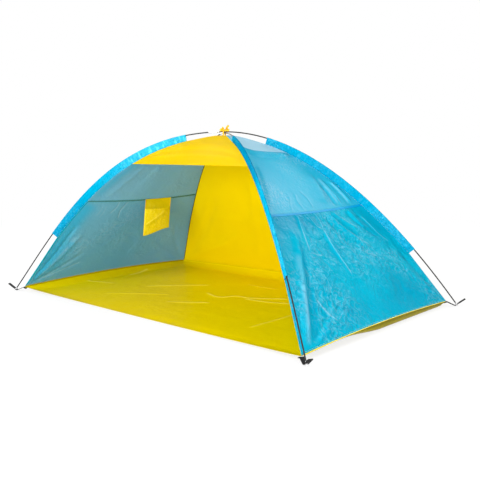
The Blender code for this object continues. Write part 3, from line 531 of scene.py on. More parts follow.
def cloth_relief(face, layers, swell, pleats=None):
    """Relief from layers of crushed cloth, a broad swell, and pleats that hang from the upper seam.

    A layer is the size, seed and octaves of its facets, with their height or with soft spots of
    (middle, radius, height). A swell is (height, seed, width, length).
    """

    def extra(x, y, across, up):
        total = gathers(x, (1.0 - up) * face.height, *pleats) if pleats else 0.0
        for facets, height in layers:
            if not isinstance(height, float):
                height = sum(spot(across, up, middle, radius) * most for middle, radius, most in height)
            total = total + height * (crumple(x, y, *facets) - 0.5)
        height, seed, wide, long = swell
        return total + height * Noise(seed)(x / wide, y / long)

    return extra


def plain_relief(face, seed, size, height):
    return cloth_relief(face, (((size, seed, 2), height),), (0.0040, seed + 9, 0.40, 0.28))


# Strokes are (kind, width, height, places by twos) and tints are (width, amount, places by twos). A tint's
# amount above 0 is painted highlight, below 0 painted shade.

RIGHT_LOWER_STROKES = (
    (FOLD, 0.026, 0.012, 0.045, 0.03, 0.09, 0.32, 0.135, 0.53, 0.18, 0.72, 0.205, 0.9),
    (FOLD, 0.02, -0.01, 0.075, 0.0, 0.11, 0.22, 0.15, 0.42, 0.185, 0.62),
    (PINCH, 0.0065, 0.005, 0.312, 0.995, 0.284, 0.875, 0.266, 0.72, 0.262, 0.645),
    (PINCH, 0.006, 0.0046, 0.4, 0.985, 0.416, 0.917, 0.44, 0.85, 0.47, 0.82),
    (PINCH, 0.0055, 0.0036, 0.481, 0.985, 0.489, 0.92, 0.48, 0.865, 0.47, 0.82),
    (PINCH, 0.007, 0.0056, 0.472, 0.835, 0.458, 0.698, 0.456, 0.595, 0.46, 0.503, 0.466, 0.385),
    (STEP, 0.03, 0.003, 0.3, 0.95, 0.278, 0.82, 0.27, 0.7, 0.29, 0.56),
    (STEP, 0.04, 0.0034, 0.48, 0.9, 0.45, 0.7, 0.452, 0.5),
    (FOLD, 0.016, 0.01, 0.596, 0.975, 0.62, 0.88, 0.64, 0.792, 0.67, 0.715, 0.705, 0.628, 0.755, 0.59),
    (FOLD, 0.013, 0.0075, 0.65, 0.975, 0.689, 0.89, 0.73, 0.818, 0.775, 0.777),
    (FOLD, 0.012, -0.007, 0.622, 0.96, 0.655, 0.87, 0.69, 0.78, 0.735, 0.69),
    (FOLD, 0.022, -0.006, 0.56, 0.94, 0.575, 0.82, 0.6, 0.7, 0.64, 0.56),
    (FOLD, 0.011, 0.007, 0.818, 0.975, 0.819, 0.9, 0.823, 0.833, 0.84, 0.76),
    (FOLD, 0.016, -0.0055, 0.78, 0.96, 0.8, 0.85, 0.84, 0.74, 0.89, 0.65),
    (PINCH, 0.0075, 0.005, 0.889, 0.9, 0.897, 0.79, 0.905, 0.69, 0.93, 0.6),
    (FOLD, 0.016, -0.0045, 0.86, 0.96, 0.88, 0.84, 0.9, 0.72, 0.94, 0.6),
    (STEP, 0.028, 0.0016, 0.3, 0.42, 0.42, 0.35, 0.52, 0.33),
    (STEP, 0.026, 0.003, 0.18, 0.38, 0.25, 0.3, 0.33, 0.26),
    (PINCH, 0.006, 0.0026, 0.262, 0.645, 0.3, 0.61, 0.34, 0.6),
    (PINCH, 0.0065, 0.0034, 0.16, 0.3, 0.19, 0.2, 0.235, 0.11),
    (FOLD, 0.016, -0.006, 0.08, 0.03, 0.14, 0.11, 0.21, 0.18),
    (FOLD, 0.012, 0.005, 0.06, 0.01, 0.115, 0.045, 0.19, 0.08),
    (STEP, 0.045, 0.0036, 0.64, 0.12, 0.72, 0.26, 0.76, 0.42),
    (FOLD, 0.024, 0.0065, 0.985, 0.02, 0.93, 0.18, 0.88, 0.38),
    (FOLD, 0.02, -0.0055, 0.975, 0.06, 0.955, 0.3, 0.945, 0.52),
    (FOLD, 0.02, 0.005, 0.96, 0.02, 0.86, 0.11, 0.76, 0.2),
)
RIGHT_UPPER_STROKES = (
    (FOLD, 0.02, 0.011, 0.03, 0.82, 0.126, 0.69, 0.302, 0.632, 0.505, 0.608, 0.721, 0.585, 0.979, 0.555),
    (FOLD, 0.02, -0.006, 0.08, 0.66, 0.302, 0.575, 0.505, 0.55, 0.721, 0.53),
    (STEP, 0.024, 0.005, 0.7, 0.03, 0.78, 0.18, 0.86, 0.33),
    (PINCH, 0.008, 0.006, 0.82, 0.01, 0.86, 0.16, 0.9, 0.3),
    (FOLD, 0.012, 0.008, 0.93, 0.02, 0.945, 0.14, 0.965, 0.26),
    (FOLD, 0.012, -0.006, 0.76, 0.02, 0.8, 0.12, 0.835, 0.23),
    (PINCH, 0.006, 0.003, 0.28, 0.01, 0.31, 0.08, 0.345, 0.13),
    (PINCH, 0.006, 0.0028, 0.42, 0.02, 0.4, 0.09, 0.43, 0.15),
    (PINCH, 0.006, 0.0028, 0.52, 0.02, 0.53, 0.11, 0.5, 0.19),
    (STEP, 0.03, -0.0035, 0.06, 0.05, 0.12, 0.26, 0.16, 0.48),
)
LEFT_LOWER_STROKES = (
    (FOLD, 0.02, -0.004, 0.985, 0.02, 0.9, 0.3, 0.84, 0.62),
    (FOLD, 0.014, 0.004, 0.985, 0.02, 0.86, 0.16, 0.76, 0.32),
    (FOLD, 0.014, 0.004, 0.98, 0.02, 0.94, 0.36, 0.92, 0.7),
    (PINCH, 0.007, 0.0026, 0.96, 0.04, 0.84, 0.12, 0.74, 0.2),
    (FOLD, 0.022, 0.004, 0.015, 0.02, 0.1, 0.32, 0.14, 0.62),
    (FOLD, 0.02, -0.003, 0.02, 0.02, 0.17, 0.18, 0.3, 0.36),
    (PINCH, 0.007, 0.0026, 0.66, 0.98, 0.68, 0.86, 0.66, 0.74),
    (PINCH, 0.006, 0.0024, 0.74, 0.98, 0.73, 0.9, 0.75, 0.82),
    (STEP, 0.03, 0.0018, 0.3, 0.98, 0.33, 0.7, 0.28, 0.42),
    (STEP, 0.034, 0.0018, 0.5, 0.6, 0.42, 0.4, 0.46, 0.18),
)
LEFT_UPPER_STROKES = (
    (FOLD, 0.022, 0.003, 0.04, 0.72, 0.3, 0.64, 0.6, 0.62, 0.96, 0.66),
    (STEP, 0.032, 0.0016, 0.2, 0.04, 0.28, 0.3, 0.24, 0.52),
    (STEP, 0.03, -0.0016, 0.72, 0.04, 0.66, 0.26, 0.7, 0.5),
    (FOLD, 0.018, -0.0024, 0.88, 0.02, 0.83, 0.2, 0.84, 0.44),
)
LEFT_LOWER_TINTS = (
    (0.06, -0.75, 0.965, 0.0, 0.96, 0.3, 0.955, 0.6, 0.955, 1.0),
    (0.05, -0.35, 0.9, 0.1, 0.88, 0.3, 0.87, 0.5),
    (0.008, 0.45, 0.96, 0.06, 0.915, 0.26, 0.885, 0.44),
    (0.007, 0.35, 0.945, 0.04, 0.87, 0.14, 0.8, 0.22),
    (0.005, 0.28, 0.85, 0.93, 0.838, 0.86, 0.842, 0.8),
    (0.005, 0.24, 0.82, 0.93, 0.806, 0.84, 0.812, 0.77),
)
LEFT_UPPER_TINTS = (
    (0.03, -0.45, 0.965, 0.0, 0.96, 0.5, 0.955, 1.0),
)
RIGHT_LOWER_TINTS = (
    (0.013, 0.38, 0.046, 0.03, 0.078, 0.24, 0.106, 0.44),
    (0.015, 0.34, 0.06, 0.12, 0.09, 0.3, 0.118, 0.5, 0.146, 0.66),
    (0.012, -0.55, 0.088, 0.02, 0.128, 0.2, 0.158, 0.4, 0.19, 0.62, 0.205, 0.76),
    (0.007, 0.45, 0.61, 0.96, 0.64, 0.85, 0.668, 0.76, 0.715, 0.66, 0.76, 0.6),
    (0.006, 0.4, 0.664, 0.965, 0.705, 0.87, 0.748, 0.8, 0.785, 0.77),
    (0.007, -0.4, 0.636, 0.95, 0.672, 0.86, 0.706, 0.77, 0.75, 0.68),
    (0.005, 0.45, 0.828, 0.97, 0.83, 0.89, 0.838, 0.82),
    (0.01, -0.35, 0.59, 0.93, 0.606, 0.8, 0.64, 0.66),
    (0.012, -0.35, 0.33, 0.96, 0.318, 0.82, 0.31, 0.7),
    (0.01, -0.3, 0.5, 0.93, 0.486, 0.74, 0.484, 0.56),
    (0.012, -0.45, 0.25, 0.25, 0.29, 0.18, 0.36, 0.14),
    (0.004, 0.6, 0.16, 0.31, 0.195, 0.2, 0.24, 0.11),
    (0.008, -0.5, 0.11, 0.02, 0.15, 0.08, 0.21, 0.13),
)
RIGHT_UPPER_TINTS = (
    (0.007, 0.28, 0.8, 0.03, 0.842, 0.16, 0.88, 0.29),
    (0.006, 0.28, 0.905, 0.02, 0.926, 0.12, 0.952, 0.23),
    (0.005, 0.18, 0.745, 0.02, 0.775, 0.12, 0.8, 0.21),
    (0.006, -0.2, 0.77, 0.02, 0.81, 0.13, 0.842, 0.24),
)
BACK_STROKES = (
    (FOLD, 0.03, 0.007, 0.012, 0.02, 0.1, 0.22, 0.16, 0.46),
    (FOLD, 0.026, -0.006, 0.012, 0.02, 0.18, 0.12, 0.32, 0.24),
    (FOLD, 0.03, 0.007, 0.988, 0.02, 0.9, 0.22, 0.84, 0.46),
    (FOLD, 0.026, -0.006, 0.988, 0.02, 0.82, 0.12, 0.68, 0.24),
    (STEP, 0.034, 0.0022, 0.36, 0.03, 0.39, 0.4, 0.43, 0.8),
    (STEP, 0.034, -0.0022, 0.64, 0.03, 0.61, 0.4, 0.57, 0.8),
    (STEP, 0.034, 0.0024, 0.06, 0.33, 0.5, 0.31, 0.94, 0.33),
)
BACK_TINTS = (
    (0.02, 0.42, 0.012, 0.02, 0.1, 0.22, 0.16, 0.46),
    (0.014, -0.3, 0.03, 0.02, 0.125, 0.2, 0.19, 0.42),
    (0.018, -0.34, 0.012, 0.02, 0.18, 0.12, 0.32, 0.24),
    (0.012, 0.34, 0.02, 0.03, 0.17, 0.15, 0.3, 0.28),
    (0.02, 0.42, 0.988, 0.02, 0.9, 0.22, 0.84, 0.46),
    (0.014, -0.3, 0.97, 0.02, 0.875, 0.2, 0.81, 0.42),
    (0.018, -0.34, 0.988, 0.02, 0.8, 0.13, 0.66, 0.25),
    (0.012, 0.3, 0.98, 0.03, 0.82, 0.16, 0.69, 0.3),
    (0.016, 0.2, 0.36, 0.03, 0.39, 0.4, 0.43, 0.8),
    (0.016, -0.2, 0.64, 0.03, 0.61, 0.4, 0.57, 0.8),
    (0.01, 0.24, 0.52, 0.05, 0.5, 0.22, 0.49, 0.36),
)
VISOR_STROKES = (
    (FOLD, 0.014, 0.0028, 0.02, 0.1, 0.2, 0.17, 0.5, 0.2, 0.8, 0.17, 0.98, 0.1),
    (FOLD, 0.016, -0.0016, 0.02, 0.16, 0.2, 0.33, 0.5, 0.38, 0.8, 0.33, 0.98, 0.16),
    (FOLD, 0.02, 0.0012, 0.06, 0.26, 0.24, 0.48, 0.5, 0.55, 0.76, 0.48, 0.94, 0.26),
)
VISOR_TINTS = (
    (0.009, 0.4, 0.06, 0.12, 0.25, 0.2, 0.5, 0.23, 0.75, 0.2, 0.94, 0.12),
    (0.008, 0.15, 0.2, 0.34, 0.38, 0.4, 0.62, 0.4, 0.8, 0.34),
    (0.01, -0.18, 0.1, 0.24, 0.3, 0.3, 0.5, 0.32, 0.7, 0.3, 0.9, 0.24),
)
RIGHT_PLEATS = (-0.45, 0.30, 34)


def right_lower_zone(x, y, across, up):
    """Painted highlights and painted shade of the gathers under the seam, and painted shade in broad places."""
    from_seam = (1.0 - up) * RIGHT_LOWER.height
    pleats = gathers(x, from_seam, *RIGHT_PLEATS, 1.0, 0.030, 11)
    total = 0.95 * (pleats - 0.30) * np.exp(-((from_seam / 0.034) ** 2)) * (np.abs(across - 0.42) < 0.42)
    deep = 0.60 * eased((across - 0.03) / 0.06) * eased((0.62 - across) / 0.25)
    deep *= eased((0.17 - from_seam) / 0.10)
    for share, middle, radius in (
        (0.55, (0.90, 0.80), (0.16, 0.34)),
        (0.45, (0.76, 0.16), (0.26, 0.34)),
        (0.35, (0.36, 0.12), (0.16, 0.16)),
        (0.30, (0.46, 0.62), (0.14, 0.20)),
    ):
        deep += share * spot(across, up, middle, radius)
    return total - deep


TOP_CURVE = ((0.0, 0.126, 0.302, 0.505, 0.721, 0.979, 1.0), (0.730, 0.695, 0.650, 0.625, 0.605, 0.580, 0.575))


def right_upper_zone(x, y, across, up):
    """Painted highlight on the zone between a fold across the upper panel and the sleeves, and painted shade
    just under the fold.
    """
    above = up - np.interp(across, *TOP_CURVE)
    ends = eased((across - 0.05) / 0.10)
    return ends * (0.95 * eased(above / 0.022) - 0.30 * np.exp(-(((above + 0.018) / 0.014) ** 2)))


# Painted highlight on the left wall's lower panel, growing towards its back ridge.
def left_lower_zone(x, y, across, up):
    return 0.36 * eased((0.55 - across) / 0.40)


# Painted shade over the whole visor, darker towards its hem.
def visor_zone(x, y, across, up):
    return -0.18 - 0.36 * eased((0.45 - up) / 0.35)


# Painted highlight over the left wall's upper panel, fading out at its front ridge and strongest towards its
# back ridge.
def left_upper_zone(x, y, across, up):
    return 0.30 * eased((1.0 - across) / 0.25) + 0.16 * eased((0.55 - across) / 0.40)


RIGHT_LOWER.relief = Relief(
    RIGHT_LOWER,
    RIGHT_LOWER_STROKES,
    cloth_relief(
        RIGHT_LOWER,
        (
            (
                (0.085, 21),
                (
                    ((0.50, 0.40), (0.34, 0.36), 0.0040),
                    ((0.24, 0.16), (0.20, 0.20), 0.0030),
                    ((0.68, 0.62), (0.22, 0.26), 0.0028),
                ),
            ),
            ((0.16, 31), 0.0011),
        ),
        (0.0045, 41, 0.42, 0.30),
        (*RIGHT_PLEATS, 0.0040, 0.030, 11),
    ),
    RIGHT_LOWER_TINTS,
    right_lower_zone,
)
RIGHT_UPPER.relief = Relief(
    RIGHT_UPPER,
    RIGHT_UPPER_STROKES,
    cloth_relief(
        RIGHT_UPPER,
        (((0.060, 61), (((0.36, 0.06), (0.22, 0.22), 0.0030), ((0.86, 0.10), (0.20, 0.26), 0.0055))),),
        (0.0022, 62, 0.35, 0.22),
    ),
    RIGHT_UPPER_TINTS,
    right_upper_zone,
    0.20,
)
LEFT_LOWER.relief = Relief(
    LEFT_LOWER,
    LEFT_LOWER_STROKES,
    cloth_relief(
        LEFT_LOWER,
        (((0.050, 71), (((0.60, 0.55), (0.22, 0.34), 0.0034), ((0.34, 0.30), (0.26, 0.30), 0.0024))),),
        (0.0024, 72, 0.40, 0.28),
        (-0.50, 0.50, 30, 0.0020, 0.022, 12),
    ),
    LEFT_LOWER_TINTS,
    left_lower_zone,
)
LEFT_UPPER.relief = Relief(
    LEFT_UPPER,
    LEFT_UPPER_STROKES,
    plain_relief(LEFT_UPPER, 81, 0.11, 0.0016),
    LEFT_UPPER_TINTS,
    left_upper_zone,
    0.3,
)
BACK_WALL.relief = Relief(BACK_WALL, BACK_STROKES, plain_relief(BACK_WALL, 91, 0.17, 0.0014), BACK_TINTS)
VISOR.relief = Relief(VISOR, VISOR_STROKES, plain_relief(VISOR, 101, 0.09, 0.0010), VISOR_TINTS, visor_zone)

# Meshes


def vertex_normals(points, faces):
    """The mean of the faces' normals at each point."""
    total = np.zeros_like(points)
    for size in (3, 4):
        some = np.array([face for face in faces if len(face) == size], int)
        if not len(some):
            continue
        first = points[some[:, 2]] - points[some[:, 0]]
        second = points[some[:, -1]] - points[some[:, 1]]
        square = np.cross(first, second)
        for k in range(size):
            np.add.at(total, some[:, k], square)
    return total / np.maximum(np.linalg.norm(total, axis=1, keepdims=True), 1e-12)


def border_edges(faces):
    """Edges that only one face has, each in that face's own direction."""
    edges = {}
    for face in faces:
        for here, there in zip(face, face[1:] + face[:1]):
            edges[(here, there)] = True
    return [edge for edge in edges if (edge[1], edge[0]) not in edges]


def grid_faces(rows, columns, around=False):
    """Faces of a grid of points, row by row. Around joins the last column to the first."""
    faces = []
    for j in range(rows - 1):
        for i in range(columns if around else columns - 1):
            k = (i + 1) % columns
            faces.append((j * columns + i, j * columns + k, (j + 1) * columns + k, (j + 1) * columns + i))
    return faces


SHARP_ANGLE = math.radians(52.0)


def add_piece(name, points, faces, materials, uv=None, seam=None, kinds=None):
    """A named mesh with smooth shading, its cloth sizes as UVs and its body set later."""
    mesh = bpy.data.meshes.new(name)
    mesh.from_pydata(np.asarray(points).tolist(), [], faces)
    for material in materials:
        mesh.materials.append(MATERIALS[material])
    if kinds is not None:
        mesh.polygons.foreach_set("material_index", np.asarray(kinds, np.int32))
    corner_points = np.zeros(len(mesh.loops), np.int32)
    mesh.loops.foreach_get("vertex_index", corner_points)
    # The second layer of UVs, named seam, holds shares of painted highlight and painted shade.
    for label, places in (("cloth", uv), ("seam", seam)):
        if places is not None:
            layer = mesh.uv_layers.new(name=label)
            layer.data.foreach_set("uv", np.asarray(places, np.float32)[corner_points].ravel())
    mesh.shade_smooth()
    mesh.set_sharp_from_angle(angle=SHARP_ANGLE)
    mesh.validate()
    return placed(name, mesh)


def sheet_piece(name, points, faces, thickness, materials, uv=None, seam=None):
    """A closed sheet of cloth: its outside, its inside and its edges."""
    points = np.asarray(points, float)
    half = vertex_normals(points, faces) * (np.asarray(thickness) / 2.0).reshape(-1, 1)
    count = len(points)
    every = [tuple(face) for face in faces]
    inside = [tuple(count + i for i in reversed(face)) for face in every]
    rim = [(count + here, count + there, there, here) for here, there in border_edges(every)]
    kinds = [0] * len(every) + [len(materials) - 1] * len(inside) + [0] * len(rim)
    twice = [None if places is None else np.concatenate([places, places]) for places in (uv, seam)]
    shell = np.concatenate([points + half, points - half])
    return add_piece(name, shell, every + inside + rim, materials, twice[0], twice[1], kinds)


def swept(line, ways, outline, closed_ends=True):
    """Points and faces of a closed outline that follows a line. Ways are its two directions at each place."""
    first, second = ways
    outline = np.asarray(outline, float)
    if outline.ndim == 2:
        outline = np.broadcast_to(outline, (len(line), *outline.shape))
    points = line[:, None, :] + first[:, None, :] * outline[..., :1] + second[:, None, :] * outline[..., 1:]
    count = outline.shape[1]
    faces = grid_faces(len(line), count, around=True)
    if closed_ends:
        last = (len(line) - 1) * count
        faces.append(tuple(reversed(range(count))))
        faces.append(tuple(range(last, last + count)))
    return points.reshape(-1, 3), faces


def circle(radius, sides):
    turn = np.arange(sides) * 2.0 * math.pi / sides
    return np.stack([np.cos(turn), np.sin(turn)], axis=-1) * radius


def ways_along(route, runs, side):
    """Two directions square to a line, the first one fixed."""
    heading = route.heading(runs)
    first = np.broadcast_to(side, heading.shape)
    return first, np.cross(heading, first)


def joined(parts):
    """Several lists of points and faces as one."""
    points, faces, shift = [], [], 0
    for some, made in parts:
        points.append(np.asarray(some, float))
        faces += [tuple(shift + i for i in face) for face in made]
        shift += len(some)
    return np.concatenate(points), faces


def turned_along(route, side, profile, sides, hollow=True):
    """A profile of (distance, radius) turned round a line. Hollow joins its last ring to its first."""
    profile = np.asarray(profile, float)
    runs = profile[:, 0]
    outline = circle(1.0, sides)[None] * profile[:, None, 1:]
    points, faces = swept(route.at(runs), ways_along(route, runs, side), outline, closed_ends=not hollow)
    if hollow:
        last = (len(profile) - 1) * sides
        faces += [(last + i, last + (i + 1) % sides, (i + 1) % sides, i) for i in range(sides)]
    return points, faces


def ring_uv(sides, step, runs):
    """UVs for rings of points: one step from point to point, and the runs from ring to ring."""
    return paired(np.tile(np.arange(sides) * step, len(runs)), np.repeat(runs, sides))


# Materials, by their own names

MATERIALS = {}
THROUGH_SHARE = 0.35
PAINTED_GLINT_SHARE = 0.45
WEAVE_PITCH, WEAVE_DEPTH = 0.0011, 0.00002
TAPE_PITCH, TAPE_DEPTH = 0.0042, 0.00008


def node(tree, kind, inputs=(), **settings):
    """A node with its settings, and its inputs by name or place: values or other nodes' outputs."""
    made = tree.nodes.new(kind)
    for key, value in settings.items():
        setattr(made, key, value)
    for key, value in dict(inputs).items():
        if isinstance(value, bpy.types.NodeSocket):
            tree.links.new(value, made.inputs[key])
        else:
            made.inputs[key].default_value = value
    return made


def maths(tree, operation, *values, clamp=False):
    made = node(tree, "ShaderNodeMath", dict(enumerate(values)), operation=operation, use_clamp=clamp)
    return made.outputs[0]


def times(tree, first, second):
    return maths(tree, "MULTIPLY", first, second)


def fitted(tree, value, low, high, first, last):
    """A value from low to high, moved to the range from first to last."""
    inputs = {"Value": value, "From Min": low, "From Max": high, "To Min": first, "To Max": last}
    return node(tree, "ShaderNodeMapRange", inputs).outputs["Result"]


def noise_of(tree, place, scale, detail=2.0, roughness=0.5, distortion=0.0):
    inputs = {"Vector": place, "Scale": scale, "Detail": detail}
    inputs |= {"Roughness": roughness, "Distortion": distortion}
    return node(tree, "ShaderNodeTexNoise", inputs).outputs["Fac"]


def creases_of(tree, place, scale, detail=2.0, distortion=0.6):
    """Crests along the zero lines of noise, 0 to 1."""
    level = noise_of(tree, place, scale, detail, 0.55, distortion)
    away = maths(tree, "ABSOLUTE", maths(tree, "SUBTRACT", level, 0.5))
    return maths(tree, "SUBTRACT", 1.0, times(tree, away, 4.0), clamp=True)


def place_of(tree, layer):
    return node(tree, "ShaderNodeUVMap", uv_map=layer).outputs["UV"]


def parts_of(tree, value):
    """The three parts of a vector."""
    return tuple(node(tree, "ShaderNodeSeparateXYZ", {0: value}).outputs)


def waves(tree, value, pitch):
    """A sine of this pitch."""
    return maths(tree, "SINE", times(tree, value, 2.0 * math.pi / pitch))


def coloured(tree, share, low, high):
    """A colour between two by a share. Each is three parts or another node's output."""
    ends = {
        place: value if isinstance(value, bpy.types.NodeSocket) else (*value, 1.0)
        for place, value in ((6, low), (7, high))
    }
    return node(tree, "ShaderNodeMix", {0: share, **ends}, data_type="RGBA").outputs[2]


def weave_of(tree, place, pitch):
    """Threads over and under each other, 0 to 1."""
    across, along, _ = parts_of(tree, place)
    crossed = times(tree, waves(tree, across, pitch), waves(tree, along, pitch))
    return fitted(tree, crossed, -1.0, 1.0, 0.0, 1.0)


def new_material(name, roughness, **sockets):
    """A material's node tree and its shader, with values on the shader's own sockets."""
    made = MATERIALS[name] = bpy.data.materials.new(name)
    made.use_nodes = True
    shader = made.node_tree.nodes["Principled BSDF"]
    for key, value in {"Roughness": roughness, **sockets}.items():
        shader.inputs[key.replace("_", " ")].default_value = value
    return made.node_tree, shader


def finished(tree, shader, colour, bumps=(), rough=None):
    """Links a shader's colour, a chain of bumps of (height, depth in metres), and its roughness."""
    tree.links.new(colour, shader.inputs["Base Color"])
    before = None
    for height, depth in bumps:
        inputs = {"Height": height, "Distance": depth, "Strength": 1.0}
        if before:
            inputs["Normal"] = before
        before = node(tree, "ShaderNodeBump", inputs).outputs["Normal"]
    if before:
        tree.links.new(before, shader.inputs["Normal"])
    if rough:
        tree.links.new(rough, shader.inputs["Roughness"])


def tone(colour, amount):
    return tuple(min(max(part * amount, 0.0), 1.0) for part in colour)


def taffeta(
    name, dark, light, roughness, crinkle,
    shine=0.3, through=None, crush=16.0, pale=None, deep=None, painted_crease_shade=0.0,
):
    """Thin coated polyester: fine weave, soft crinkles, uneven dye.

    Through is the colour of light that passes it. Pale is the colour of painted highlights, on creases
    that the second layer of UVs marks and as painted glints on the crinkles. Deep is the colour of painted
    shade, on creases that the second layer marks and along the larger crinkles' crests.
    """
    tree, shader = new_material(name, roughness, Specular_IOR_Level=shine)
    place = place_of(tree, "cloth")
    broad, fine = noise_of(tree, place, 5.0, 2.0), noise_of(tree, place, 46.0, 4.0, 0.6)
    share = maths(tree, "ADD", times(tree, broad, 0.65), times(tree, fine, 0.35))
    colour = coloured(tree, fitted(tree, share, 0.30, 0.70, 0.0, 1.0), dark, light)
    patchy = fitted(tree, noise_of(tree, place, 2.6, 1.0), 0.34, 0.56, 0.35, 1.0)
    large = times(tree, creases_of(tree, place, crush, 3.0), patchy)
    small = times(tree, creases_of(tree, place, crush * 2.8, 2.0), patchy)
    # Painted light: highlights and shade from the second layer of UVs, painted glints on the small crinkles'
    # crests, and painted shade along the large ones.
    if pale:
        crests, hollows, _ = parts_of(tree, place_of(tree, "seam"))
        painted_glint = times(tree, maths(tree, "POWER", small, 8.0), PAINTED_GLINT_SHARE)
        colour = coloured(tree, maths(tree, "MAXIMUM", crests, painted_glint), colour, pale)
        if painted_crease_shade:
            lines = times(tree, maths(tree, "POWER", large, 10.0), painted_crease_shade)
            hollows = maths(tree, "MAXIMUM", hollows, lines)
        colour = coloured(tree, hollows, colour, deep or tone(dark, 0.45))
    bumps = [(large, crinkle), (small, crinkle * 0.4), (weave_of(tree, place, WEAVE_PITCH), WEAVE_DEPTH)]
    finished(tree, shader, colour, bumps, fitted(tree, fine, 0.3, 0.7, roughness - 0.05, roughness + 0.06))
    if through:
        glow = node(tree, "ShaderNodeBsdfTranslucent", {"Color": (*through, 1.0)})
        inputs = {0: THROUGH_SHARE, 1: shader.outputs[0], 2: glow.outputs[0]}
        mixed = node(tree, "ShaderNodeMixShader", inputs)
        tree.links.new(mixed.outputs[0], tree.nodes["Material Output"].inputs["Surface"])


def groundsheet_material(name, dark, light, shine):
    """Woven polyethylene tape: a visible checked weave under a waxy film."""
    tree, shader = new_material(name, 0.33, Specular_IOR_Level=shine)
    place = place_of(tree, "cloth")
    share = fitted(tree, noise_of(tree, place, 3.0, 3.0), 0.32, 0.68, 0.0, 1.0)
    # The second layer of UVs paints highlights along the creases and paints shade.
    crests, hollows, _ = parts_of(tree, place_of(tree, "seam"))
    colour = coloured(tree, crests, coloured(tree, share, dark, light), (0.96, 0.84, 0.16))
    colour = coloured(tree, hollows, colour, tone(dark, 0.22))
    streaks, crush = creases_of(tree, place, 3.2, 2.0, 0.9), creases_of(tree, place, 11.0, 3.0)
    bumps = [(streaks, 0.0012), (crush, 0.0006), (weave_of(tree, place, TAPE_PITCH), TAPE_DEPTH)]
    finished(tree, shader, colour, bumps, fitted(tree, noise_of(tree, place, 60.0, 3.0), 0.3, 0.7, 0.27, 0.40))


def webbing_material():
    """Black polyester webbing: rows of ribs across, with a twill inside each rib."""
    tree, shader = new_material("webbing", 0.70, Specular_IOR_Level=0.15)
    place = place_of(tree, "cloth")
    across, along, _ = parts_of(tree, place)
    rib = waves(tree, along, 0.0019)
    twill = waves(tree, maths(tree, "ADD", across, times(tree, along, 0.6)), 0.0013)
    share = times(tree, fitted(tree, rib, -1.0, 1.0, 0.2, 1.0), noise_of(tree, place, 900.0, 2.0))
    colour = coloured(tree, share, (0.003, 0.003, 0.003), (0.015, 0.015, 0.016))
    waved = ((rib, 0.00022), (twill, 0.00010))
    bumps = [(fitted(tree, wave, -1.0, 1.0, 0.0, 1.0), depth) for wave, depth in waved]
    finished(tree, shader, colour, bumps)


def streaked_material(name, roughness, scale, dark, light, rough, depth, **sockets):
    """Pultruded fibreglass or drawn steel: fine streaks that the scale draws out."""
    tree, shader = new_material(name, roughness, **sockets)
    place = node(tree, "ShaderNodeMapping", {"Vector": place_of(tree, "cloth"), "Scale": scale}).outputs[0]
    level = noise_of(tree, place, 1.0, 3.0, 0.6)
    colour = coloured(tree, fitted(tree, level, 0.3, 0.7, 0.0, 1.0), dark, light)
    finished(tree, shader, colour, [(level, depth)], fitted(tree, level, 0.3, 0.7, *rough))


def cord_material():
    """White braid of an elastic cord, in object sizes because the solid has no UVs."""
    tree, shader = new_material("elastic_cord", 0.8, Sheen_Weight=0.3)
    place = node(tree, "ShaderNodeTexCoord").outputs["Object"]
    level = node(tree, "ShaderNodeTexWave", {"Vector": place, "Scale": 420.0, "Distortion": 1.5}).outputs["Fac"]
    finished(tree, shader, coloured(tree, level, (0.66, 0.66, 0.64), (0.84, 0.84, 0.82)), [(level, 0.00015)])


def ribbon_material():
    """Satin ribbon: fine ribs across and a soft shine."""
    tree, shader = new_material("ribbon", 0.42, Specular_IOR_Level=0.3)
    place = place_of(tree, "cloth")
    rib = waves(tree, parts_of(tree, place)[1], 0.0009)
    share = fitted(tree, noise_of(tree, place, 120.0, 3.0), 0.3, 0.7, 0.0, 1.0)
    colour = coloured(tree, share, (0.760, 0.400, 0.006), (0.900, 0.520, 0.012))
    finished(tree, shader, colour, [(fitted(tree, rib, -1.0, 1.0, 0.0, 1.0), 0.00006)])


def thread_material(name, colour):
    tree, shader = new_material(name, 0.6, Specular_IOR_Level=0.2)
    level = noise_of(tree, node(tree, "ShaderNodeTexCoord").outputs["Object"], 1800.0, 1.0)
    finished(tree, shader, coloured(tree, level, tone(colour, 0.8), tone(colour, 1.25)))


BLUE_GLOW, YELLOW_GLOW = (0.0, 0.58, 0.9), (0.95, 0.74, 0.01)
# In each paint, pale is the colour of painted highlights and glints, deep the colour of painted shade, and
# through the colour of light that passes the cloth.
BLUE_PAINT = dict(shine=0.03, through=BLUE_GLOW, crush=9.0, pale=(0.34, 0.78, 0.96), deep=(0.0, 0.36, 0.56))
INSIDE_PAINT = dict(through=BLUE_GLOW, crush=12.0, pale=(0.4, 0.62, 0.6), deep=(0.004, 0.44, 0.64))
SLEEVE_PAINT = dict(shine=0.0, crush=26.0, pale=(0.13, 0.68, 0.91), deep=(0.0, 0.13, 0.28), painted_crease_shade=0.35)
YELLOW_PAINT = dict(shine=0.06, through=YELLOW_GLOW, pale=(0.93, 0.78, 0.09), deep=(0.62, 0.44, 0.0))
BACK_PAINT = dict(shine=0.05, through=YELLOW_GLOW)
UPPER_PAINT = dict(shine=0.2, through=BLUE_GLOW, pale=(0.56, 0.86, 1.0))
POCKET_PAINT = dict(shine=0.15, pale=(0.98, 0.84, 0.12), deep=(0.48, 0.4, 0.0))
